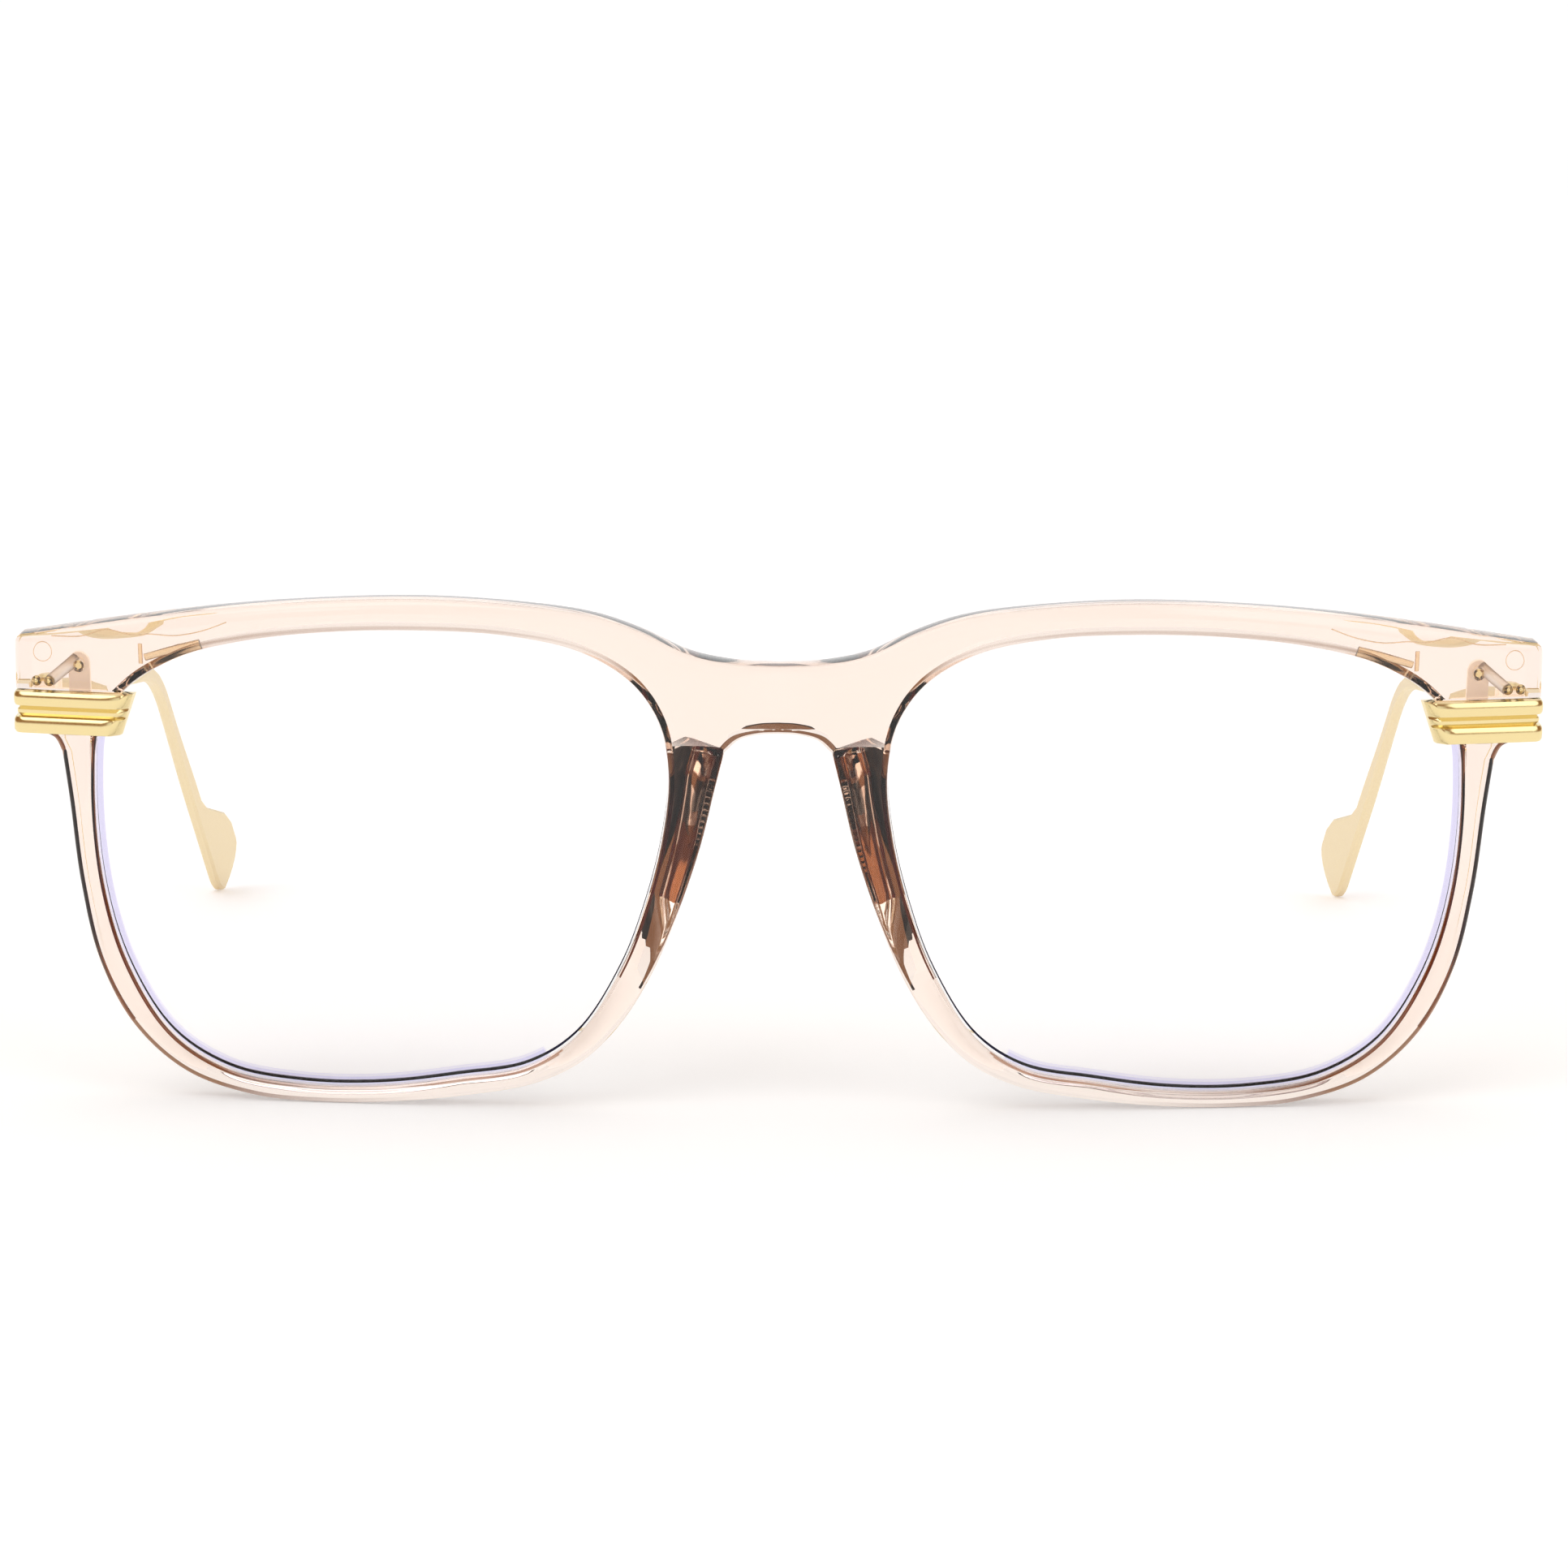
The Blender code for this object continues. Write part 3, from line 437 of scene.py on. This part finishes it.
def trim_seat():
    """The space cut from the front for the trim: its plain outline with a little room."""
    low, high = TRIM_BOTTOM - CLEARANCE, TRIM_TOP + CLEARANCE
    seat = TRIM_SEAT_DEPTH + CLEARANCE
    inner_side = TRIM_OUTER - TRIM_SIDE_THICKNESS - CLEARANCE
    line = [(58.0, sag(58.0) + seat), (62.0, sag(62.0) + seat), (66.0, sag(66.0) + seat),
            (inner_side, sag(inner_side) + seat), (inner_side, 20.0),
            (74.0, 20.0), (74.0, 3.0), (58.0, 3.0)]
    return loft([[(u, w, v) for u, v in line] for w in (low, high)])


def hinge_point(side):
    """A point on the hinge's axis at mid height, in the model."""
    return to_model(side * HINGE_U, HINGE_W, HINGE_V)


def arm_line():
    """The temple's centre line in the vertical plane: (length, back, down, slope) from its front end."""
    stations = [(0.0, 0.0, 0.0, ARM_SLOPE)]

    def go(length, slope):
        along, back, down, _ = stations[-1]
        back += length * math.cos(slope)
        down += length * math.sin(slope)
        stations.append((along + length, back, down, slope))

    for length in [1.0] * 3 + [3.0] * 3 + [(ARM_STRAIGHT - 12) / 8] * 8:
        go(length, ARM_SLOPE)
    turn = (EAR_SLOPE - ARM_SLOPE) / BEND_STEPS
    for k in range(BEND_STEPS):
        go(BEND_RADIUS * turn, ARM_SLOPE + turn * (k + 0.5))
    stations[-1] = (*stations[-1][:3], EAR_SLOPE)
    before = EAR_STRAIGHT - PADDLE_LENGTH
    middle = PADDLE_LENGTH - PADDLE_SHOULDER - PADDLE_END
    shares = np.diff(1 - np.cos(np.linspace(0, math.pi / 2, END_STEPS + 1)))[::-1]
    runs = [before / 5] * 5 + [PADDLE_SHOULDER / SHOULDER_STEPS] * SHOULDER_STEPS + [middle / 3] * 3
    for length in runs + list(PADDLE_END * shares):
        go(length, EAR_SLOPE)
    return stations


def arm_inset(back):
    """How far the temple has curved in towards the head at a distance behind its front end."""
    curved = min(back, INSET_STRAIGHT)
    slope = 2 * INSET_SQUARE * curved + 3 * INSET_CUBE * curved**2
    return INSET_SQUARE * curved**2 + INSET_CUBE * curved**3 + slope * (back - curved)


def arm_section(along, total):
    """(half thickness, reach below, reach above) of the temple at a length along it."""
    root = smooth_step(1 - along / 9.0)
    taper = smooth_step((along - 20) / 60)
    height = ARM_HEIGHT + (ARM_ROOT_HEIGHT - ARM_HEIGHT) * root + (EAR_HEIGHT - ARM_HEIGHT) * taper
    low = high = height / 2
    start = total - PADDLE_LENGTH
    high += (PADDLE_HEIGHT - EAR_HEIGHT) * smooth_step((along - start) / PADDLE_SHOULDER)
    left = total - along
    if left < PADDLE_END:
        cut = 1 - math.sqrt(max(0.0, 1 - (1 - left / PADDLE_END) ** 2))
        high -= cut * (PADDLE_HEIGHT * 0.75)
        low -= cut * EAR_HEIGHT * 0.5
    half = ARM_THICKNESS / 2 * (1 - 0.1 * taper)
    return half, max(low, 0.2), max(high, 0.2)


def arm_shape(side):
    """The temple arm, given straight in model millimetres."""
    stations = arm_line()
    total = stations[-1][0]
    pivot = hinge_point(1) / MM
    start_y, start_z = pivot.y + ARM_START, pivot.z
    rings = []
    for along, back, down, slope in stations:
        half, low, high = arm_section(along, total)
        centre = ARM_U - arm_inset(back)
        twist = PADDLE_TWIST * smooth_step((along - total + PADDLE_LENGTH + 22) / 20)
        bevel = min(0.25, half * 0.6)
        ring = []
        across = half - bevel
        outline = [(-half, -low + bevel), (-across, -low), (across, -low), (half, -low + bevel),
                   (half, high - bevel), (across, high), (-across, high), (-half, high - bevel)]
        for x, up in outline:
            y = start_y + back + up * math.sin(slope)
            z = start_z - down + up * math.cos(slope)
            lean = arm_inset(back + up * math.sin(slope)) - arm_inset(back) + twist * up
            ring.append((side * (centre + x - lean), y, z))
        rings.append(ring)
    return loft(rings)


def node(tree, kind, **inputs):
    made = tree.nodes.new(kind)
    for key, value in inputs.items():
        made.inputs[key.replace("_", " ")].default_value = value
    return made


def colour_mix(tree, first, second):
    """A mix of two colours. A socket that is linked afterwards takes no notice of the colour given here."""
    mix = tree.nodes.new("ShaderNodeMix")
    mix.data_type = "RGBA"
    mix.inputs["A"].default_value = first
    mix.inputs["B"].default_value = second
    return mix


def new_material(name):
    made = bpy.data.materials.new(name)
    made.use_nodes = True
    return made, made.node_tree, made.node_tree.nodes["Principled BSDF"]


def noise_bump(tree, shader, scale, strength, distance, detail=2.0):
    """A fine noise bump in object space, joined to the shader's normal."""
    where = tree.nodes.new("ShaderNodeTexCoord")
    noise = node(tree, "ShaderNodeTexNoise", Scale=scale, Detail=detail)
    bump = node(tree, "ShaderNodeBump", Strength=strength, Distance=distance)
    tree.links.new(where.outputs["Object"], noise.inputs["Vector"])
    tree.links.new(noise.outputs["Fac"], bump.inputs["Height"])
    tree.links.new(bump.outputs["Normal"], shader.inputs["Normal"])
    return noise


def absorb_light(tree):
    """Gives a material the plastic's depth of colour, which grows with the way light travels inside it."""
    inside = node(tree, "ShaderNodeVolumeAbsorption", Color=PLASTIC_TINT, Density=PLASTIC_DENSITY)
    tree.links.new(inside.outputs["Volume"], tree.nodes["Material Output"].inputs["Volume"])


def clear_plastic():
    """Polished see-through champagne plastic."""
    made, tree, shader = new_material("champagne_clear_plastic")
    shader.inputs["Base Color"].default_value = PLASTIC_SURFACE
    shader.inputs["Roughness"].default_value = 0.015
    shader.inputs["IOR"].default_value = PLASTIC_IOR
    shader.inputs["Transmission Weight"].default_value = 1.0
    noise_bump(tree, shader, 90.0, 0.10, 0.0004)
    absorb_light(tree)
    return made


def see_through(name, colour, roughness, ior):
    """A tinted see-through material with a little grain."""
    made, tree, shader = new_material(name)
    shader.inputs["Base Color"].default_value = colour
    shader.inputs["Roughness"].default_value = roughness
    shader.inputs["IOR"].default_value = ior
    shader.inputs["Transmission Weight"].default_value = 1.0
    noise_bump(tree, shader, 600.0, 0.1, 0.0001)
    return made


def deep_shade_plastic():
    """The plastic with painted shade: a deep amber round the nose pads and the arch, standing in for the
    shade seen through the thick clear plastic.
    """
    made = see_through("painted_deep_shade", PAD_SHADE_COLOUR, 0.02, PLASTIC_IOR)
    absorb_light(made.node_tree)
    return made


def edge_shade_plastic():
    """The plastic on the rims' outer edges, with painted shade: its brown stands in for the dark that
    refraction shows there, and fades to clear towards the nose.
    """
    made = see_through("painted_edge_shade", EDGE_SHADE_COLOUR, 0.02, PLASTIC_IOR)
    tree = made.node_tree
    where = tree.nodes.new("ShaderNodeTexCoord")
    split = tree.nodes.new("ShaderNodeSeparateXYZ")
    tree.links.new(where.outputs["Object"], split.inputs["Vector"])
    across = tree.nodes.new("ShaderNodeMath")
    across.operation = "ABSOLUTE"
    tree.links.new(split.outputs["X"], across.inputs[0])
    fade = node(tree, "ShaderNodeMapRange", From_Min=EDGE_FADE[0], From_Max=EDGE_FADE[1])
    tree.links.new(across.outputs["Value"], fade.inputs["Value"])
    mix = colour_mix(tree, PLASTIC_SURFACE, EDGE_SHADE_COLOUR)
    tree.links.new(fade.outputs["Result"], mix.inputs["Factor"])
    tree.links.new(mix.outputs["Result"], tree.nodes["Principled BSDF"].inputs["Base Color"])
    absorb_light(tree)
    return made


def lens_plastic():
    """Clear lens with a faint violet coating."""
    made, tree, shader = new_material("coated_lens")
    shader.inputs["Base Color"].default_value = (0.985, 0.985, 1.0, 1.0)
    shader.inputs["Roughness"].default_value = 0.004
    shader.inputs["IOR"].default_value = LENS_IOR
    shader.inputs["Transmission Weight"].default_value = 1.0
    shader.inputs["Specular Tint"].default_value = (0.55, 0.5, 1.0, 1.0)
    noise_bump(tree, shader, 40.0, 0.02, 0.0002)
    return made


def polished_gold():
    made, tree, shader = new_material("polished_pale_gold")
    shader.inputs["Metallic"].default_value = 1.0
    shader.inputs["Base Color"].default_value = (0.86, 0.72, 0.38, 1.0)
    noise = noise_bump(tree, shader, 700.0, 0.05, 0.00005, 3.0)
    rough = node(tree, "ShaderNodeMapRange", To_Min=0.13, To_Max=0.22)
    tree.links.new(noise.outputs["Fac"], rough.inputs["Value"])
    tree.links.new(rough.outputs["Result"], shader.inputs["Roughness"])
    return made


def plate_painted_glow():
    """Blasted plating seen through the plastic, with a painted glow that lightens it beyond what the studio
    gives.
    """
    made, tree, shader = new_material("plate_painted_glow")
    shader.inputs["Base Color"].default_value = (0.93, 0.83, 0.70, 1.0)
    shader.inputs["Roughness"].default_value = 0.5
    # Painted glow: emission lightens the plate seen inside the lobe
    shader.inputs["Emission Color"].default_value = (0.93, 0.83, 0.72, 1.0)
    shader.inputs["Emission Strength"].default_value = 0.45
    noise_bump(tree, shader, 2500.0, 0.2, 0.00004)
    return made


def satin_gold():
    """The temples' blasted plating: a fine grain that sparkles a little."""
    made, tree, shader = new_material("satin_pale_gold")
    shader.inputs["Metallic"].default_value = 1.0
    noise = noise_bump(tree, shader, 3500.0, 0.25, 0.00004, 3.0)
    ramp = colour_mix(tree, (0.80, 0.66, 0.37, 1.0), (0.88, 0.76, 0.48, 1.0))
    tree.links.new(noise.outputs["Fac"], ramp.inputs["Factor"])
    tree.links.new(ramp.outputs["Result"], shader.inputs["Base Color"])
    shader.inputs["Roughness"].default_value = 0.42
    return made


def piece(name, bm, look, body, nodes, sharp=SHARP_ANGLE):
    """One finished piece in the row frame, with its material, its body and the nodes it stands for."""
    bmesh.ops.recalc_face_normals(bm, faces=bm.faces)
    if bm.calc_volume(signed=True) < 0:
        bmesh.ops.reverse_faces(bm, faces=bm.faces)
    mesh = bpy.data.meshes.new(name)
    bm.to_mesh(mesh)
    bm.free()
    mesh.materials.append(look)
    mesh.shade_smooth()
    mesh.set_sharp_from_angle(angle=math.radians(sharp))
    made = bpy.data.objects.new(name, mesh)
    bpy.context.scene.collection.objects.link(made)
    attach(made, body)
    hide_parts(*nodes)
    return made


def cut(target, shape):
    """Cuts a shape given in front coordinates from both sides of a piece."""
    verts, faces = shape
    both = [(-u, w, v) for u, w, v in verts]
    bm = mesh_from(verts + both, faces + [tuple(i + len(verts) for i in reversed(face)) for face in faces])
    bmesh.ops.recalc_face_normals(bm, faces=bm.faces)
    if bm.calc_volume(signed=True) < 0:
        bmesh.ops.reverse_faces(bm, faces=bm.faces)
    mesh = bpy.data.meshes.new("cutter")
    bm.to_mesh(mesh)
    bm.free()
    for look in target.data.materials:
        mesh.materials.append(look)
    tool = bpy.data.objects.new("cutter", mesh)
    bpy.context.scene.collection.objects.link(tool)
    change = target.modifiers.new("cut", "BOOLEAN")
    change.operation = "DIFFERENCE"
    change.solver = "MANIFOLD"
    change.object = tool
    graph = bpy.context.evaluated_depsgraph_get()
    made = bpy.data.meshes.new_from_object(target.evaluated_get(graph))
    target.modifiers.remove(change)
    target.data = made
    bpy.data.objects.remove(tool)


def wall_look(face, verts):
    """A front face's material number: 1 for the painted shade on the nose pads and arch, 2 for the painted
    shade on the rims' outer edges, else 0.
    """
    spots = [i % RING_SIZE for i in face]
    first, last = min(spots), max(spots)
    u, w, _ = np.mean([verts[i] for i in face], axis=0)
    on_wall = WALL_FIRST <= first and last <= WALL_LAST
    if on_wall and u < NOSE_REACH and NOSE_LOW < w < ARCH_TOP:
        return 1
    behind = first >= WALL_LAST or last <= BACK_LAST
    if behind and u < PAD_REACH and PAD_BACK_LOW < w < PAD_BACK_HIGH:
        return 1
    on_front_edge = EDGE_FIRST <= first and last <= WALL_FIRST
    on_back_edge = first > WALL_FIRST and last <= WALL_LAST and w > BACK_ROUND_LOW
    on_lip = LIP_FIRST <= first and last <= LIP_LAST
    if u > SIDE_START and (((on_front_edge or on_back_edge) and w < EDGE_TOP) or (on_lip and w < LIP_TOP)):
        return 2
    return 0


def make_front(look, deep, edge):
    """The clear front: both halves joined at the middle of the bridge, then cut for the metalwork."""
    verts, faces = front_half(FRONT_SCALE, FRONT_STEPS)
    bm = bmesh.new()
    seam = {}
    for side in (1, -1):
        made = []
        for k, (u, w, v) in enumerate(verts):
            if abs(u) < 1e-6 and side < 0:
                made.append(seam[k])
                continue
            vert = bm.verts.new(to_model(side * u, w, v))
            seam[k] = vert
            made.append(vert)
        for face in faces:
            new = bm.faces.new([made[i] for i in (face if side > 0 else reversed(face))])
            new.material_index = wall_look(face, verts)
    front = piece("clear_front", bm, look, "front", ["front_frame"])
    # deep and edge are the two painted shade materials, for faces 1 and 2
    front.data.materials.append(deep)
    front.data.materials.append(edge)
    cut(front, trim_seat())
    cut(front, cylinder((POST_U, POST_W), POST_RADIUS + CLEARANCE, 0.0, HOLE_END, 32))
    cut(front, cylinder((EAR_U, EAR_W), EAR_BORE, sag(EAR_U) + EAR_HOLE_START, HOLE_END, 24))
    front.data.set_sharp_from_angle(angle=math.radians(SHARP_ANGLE))


def tube(points, radius, steps=10):
    """A round bar along points given in front coordinates."""
    line = np.array(points, float)
    rings = []
    for k, centre in enumerate(line):
        ahead = line[min(k + 1, len(line) - 1)] - line[max(k - 1, 0)]
        ahead /= np.linalg.norm(ahead)
        side_way = np.cross(ahead, (0.0, 0.0, 1.0))
        if np.linalg.norm(side_way) < 1e-3:
            side_way = np.array((1.0, 0.0, 0.0))
        side_way /= np.linalg.norm(side_way)
        up = np.cross(side_way, ahead)
        angles = 2 * np.pi * np.arange(steps) / steps
        rings.append([tuple(centre + radius * (math.cos(a) * side_way + math.sin(a) * up)) for a in angles])
    return loft(rings)


def ball(centre, radius):
    """A small round head in front coordinates."""
    angles = np.linspace(0.12, math.pi - 0.12, 12)
    rings = []
    for a in angles:
        size, v = radius * math.sin(a), centre[2] - radius * math.cos(a)
        turns = 2 * np.pi * np.arange(20) / 20
        rings.append([(centre[0] + size * math.cos(t), centre[1] + size * math.sin(t), v) for t in turns])
    return loft(rings)


def behind_face(point, depth):
    """A point (u, w) at a depth behind the front's curved face."""
    u, w = point
    return (u, w, sag(u) + depth)


def pin_mark():
    """The round mark that a moulding pin left on the lobe."""
    turns = 2 * np.pi * np.arange(33) / 32
    u, w = PIN_MARK
    ring = [(u + PIN_MARK_RADIUS * math.cos(t), w + PIN_MARK_RADIUS * math.sin(t)) for t in turns]
    return tube([behind_face(q, PIN_MARK_DEPTH) for q in ring], PIN_MARK_LINE)


def make_lobe_details(side, hand, amber, frosted, gold):
    """The moulding marks and fixings that show through the clear lobe."""
    flow_line = [behind_face(q, FLOW_LINE_DEPTH) for q in spline(FLOW_LINE, steps=6)]
    marks = {
        "flow_line": tube(flow_line, FLOW_LINE_RADIUS),
        "gate_bar": tube([behind_face(q, GATE_DEPTH) for q in GATE_BAR], GATE_BAR_RADIUS),
        "gate_stub": tube([behind_face(q, GATE_DEPTH) for q in GATE_STUB], GATE_STUB_RADIUS),
        "pin_mark": pin_mark(),
    }
    for name, shape in marks.items():
        piece(f"{hand}_{name}", mesh_from(*shape, side), amber, "front", ["front_frame"])
    ends = [behind_face(BOSS_REAR, BOSS_REAR_DEPTH), behind_face(BOSS_FRONT, BOSS_FRONT_DEPTH)]
    boss = mesh_from(*tube(ends, BOSS_RADIUS, 20), side)
    piece(f"{hand}_anchor_boss", boss, frosted, "front", ["front_frame"])
    for k, spot in enumerate(RIVETS):
        head = mesh_from(*ball(behind_face(spot, RIVET_DEPTH), RIVET_RADIUS), side)
        piece(f"{hand}_rivet_{k + 1}", head, gold, "front", [f"{hand}_corner_trim"])


def coated_lens_shape():
    """The lens, as rings from its front face over the bevel to its back face, and its outward normals."""
    lip = front_stations(3)[0]
    out = -normals_of(lip, True)
    centre = lip.mean(axis=0)
    near, far = LENS_FRONT_DEPTH, LENS_FRONT_DEPTH + LENS_THICKNESS
    shoulder = lip - 0.1 * out
    band = lip - VIOLET_BAND * out
    apex = lip + (LENS_BEVEL - 0.02) * out
    levels = [(centre + (band - centre) * s, near) for s in (0.35, 0.7, 1.0)]
    levels += [(shoulder, near), (apex, (near + far) / 2), (shoulder, far)]
    levels += [(centre + (band - centre) * s, far) for s in (1.0, 0.7, 0.35)]
    rings = [[(u, w, v + sag(u)) for u, w in points] for points, v in levels]
    return loft(rings), out


def make_lens(side, hand, look, violet):
    """A lens whose rim is painted violet on its outer and lower sides, a painted reflection of its coating.
    """
    (verts, faces), out = coated_lens_shape()
    bm = mesh_from(verts, faces, side)
    bm.faces.ensure_lookup_table()
    size = len(out)
    for level in RIM_LEVELS:
        for k in range(size):
            if out[k] @ VIOLET_SIDE > VIOLET_REACH:
                bm.faces[level * size + k].material_index = 1
    made = piece(f"{hand}_clear_lens", bm, look, "front", [f"{hand}_lens"], 30)
    made.data.materials.append(violet)


def make_floor():
    bpy.ops.mesh.primitive_plane_add(size=FLOOR_SIZE, location=FLOOR_MIDDLE)
    floor = bpy.context.object
    floor.name = "floor"
    white, _, shader = new_material("studio_white")
    shader.inputs["Base Color"].default_value = FLOOR_COLOUR
    shader.inputs["Roughness"].default_value = 0.9
    shader.inputs["Specular IOR Level"].default_value = 0.0
    shader.inputs["Emission Color"].default_value = WHITE
    shader.inputs["Emission Strength"].default_value = FLOOR_GLOW
    floor.data.materials.append(white)


def bright_sides(tree, direction):
    """How bright the studio is each way, from full behind and above the glasses to none in front."""
    split = tree.nodes.new("ShaderNodeSeparateXYZ")
    tree.links.new(direction, split.inputs["Vector"])
    brighter = tree.nodes.new("ShaderNodeMath")
    brighter.operation = "MAXIMUM"
    for k, (axis, (low, high)) in enumerate((("Y", BRIGHT_BEHIND), ("Z", BRIGHT_ABOVE))):
        share = node(tree, "ShaderNodeMapRange", From_Min=low, From_Max=high)
        tree.links.new(split.outputs[axis], share.inputs["Value"])
        tree.links.new(share.outputs["Result"], brighter.inputs[k])
    return brighter.outputs["Value"]


def make_world():
    """A white studio with dim warm sides in front, and three soft boxes for the gold to reflect."""
    world = bpy.data.worlds.new("studio")
    bpy.context.scene.world = world
    world.use_nodes = True
    tree = world.node_tree
    direction = tree.nodes.new("ShaderNodeTexCoord").outputs["Generated"]
    colour = colour_mix(tree, DIM_SIDES, WHITE)
    tree.links.new(bright_sides(tree, direction), colour.inputs["Factor"])
    shade = colour.outputs["Result"]
    for aim, edge, level in SOFTBOXES:
        facing = tree.nodes.new("ShaderNodeVectorMath")
        facing.operation = "DOT_PRODUCT"
        facing.inputs[1].default_value = Vector(aim).normalized()
        tree.links.new(direction, facing.inputs[0])
        patch = node(tree, "ShaderNodeMapRange", From_Min=edge - SOFTBOX_FADE, From_Max=edge)
        tree.links.new(facing.outputs["Value"], patch.inputs["Value"])
        lit = colour_mix(tree, WHITE, (level, level, level, 1.0))
        tree.links.new(patch.outputs["Result"], lit.inputs["Factor"])
        tree.links.new(shade, lit.inputs["A"])
        shade = lit.outputs["Result"]
    back = tree.nodes["Background"]
    tree.links.new(shade, back.inputs["Color"])
    back.inputs["Strength"].default_value = WORLD_STRENGTH


def make_camera():
    data = bpy.data.cameras.new("camera")
    data.sensor_width = CAMERA_SENSOR
    data.lens = CAMERA_LENS
    camera = bpy.data.objects.new("camera", data)
    bpy.context.scene.collection.objects.link(camera)
    turn = Matrix.Rotation(math.radians(90) - CAMERA_DOWN, 4, "X") @ Matrix.Rotation(CAMERA_ROLL, 4, "Z")
    camera.matrix_world = Matrix.Translation(CAMERA_PLACE) @ turn
    bpy.context.scene.camera = camera


def finish_packed_metal(gold, plate_glow_look):
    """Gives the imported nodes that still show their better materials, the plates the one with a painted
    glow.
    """
    for name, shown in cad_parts.items():
        if not shown.hide_render:
            for k in range(len(shown.material_slots)):
                shown.material_slots[k].material = plate_glow_look if "plate" in name else gold


def main():
    bpy.context.scene.view_settings.view_transform = "Standard"
    plastic, lens_look = clear_plastic(), lens_plastic()
    gold, satin, plate_glow_look = polished_gold(), satin_gold(), plate_painted_glow()
    # Painted reflection: violet on the lens rims standing in for the coating's reflection
    violet = see_through("lens_edge_painted_reflection", (0.72, 0.71, 0.93, 1.0), 0.05, LENS_IOR)
    amber = see_through("amber_mark", (0.93, 0.74, 0.50, 1.0), 0.25, 1.40)
    frosted = see_through("frosted_boss", (0.97, 0.93, 0.88, 1.0), 0.5, 1.35)
    make_front(plastic, deep_shade_plastic(), edge_shade_plastic())
    for side, hand in ((1, "left"), (-1, "right")):
        make_lens(side, hand, lens_look, violet)
        make_lobe_details(side, hand, amber, frosted, gold)
        trim = mesh_from(*trim_shape(), side)
        piece(f"{hand}_ridged_trim", trim, gold, "front", [f"{hand}_corner_trim"])
        arm = mesh_from(*arm_shape(side), 1, lambda x, y, z: Vector((x, y, z)) * MM)
        piece(f"{hand}_temple", arm, satin, f"{hand}_temple", [f"{hand}_temple_arm"], 30)
    finish_packed_metal(gold, plate_glow_look)
    make_floor()
    make_world()
    make_camera()
    bpy.context.view_layer.update()


main()
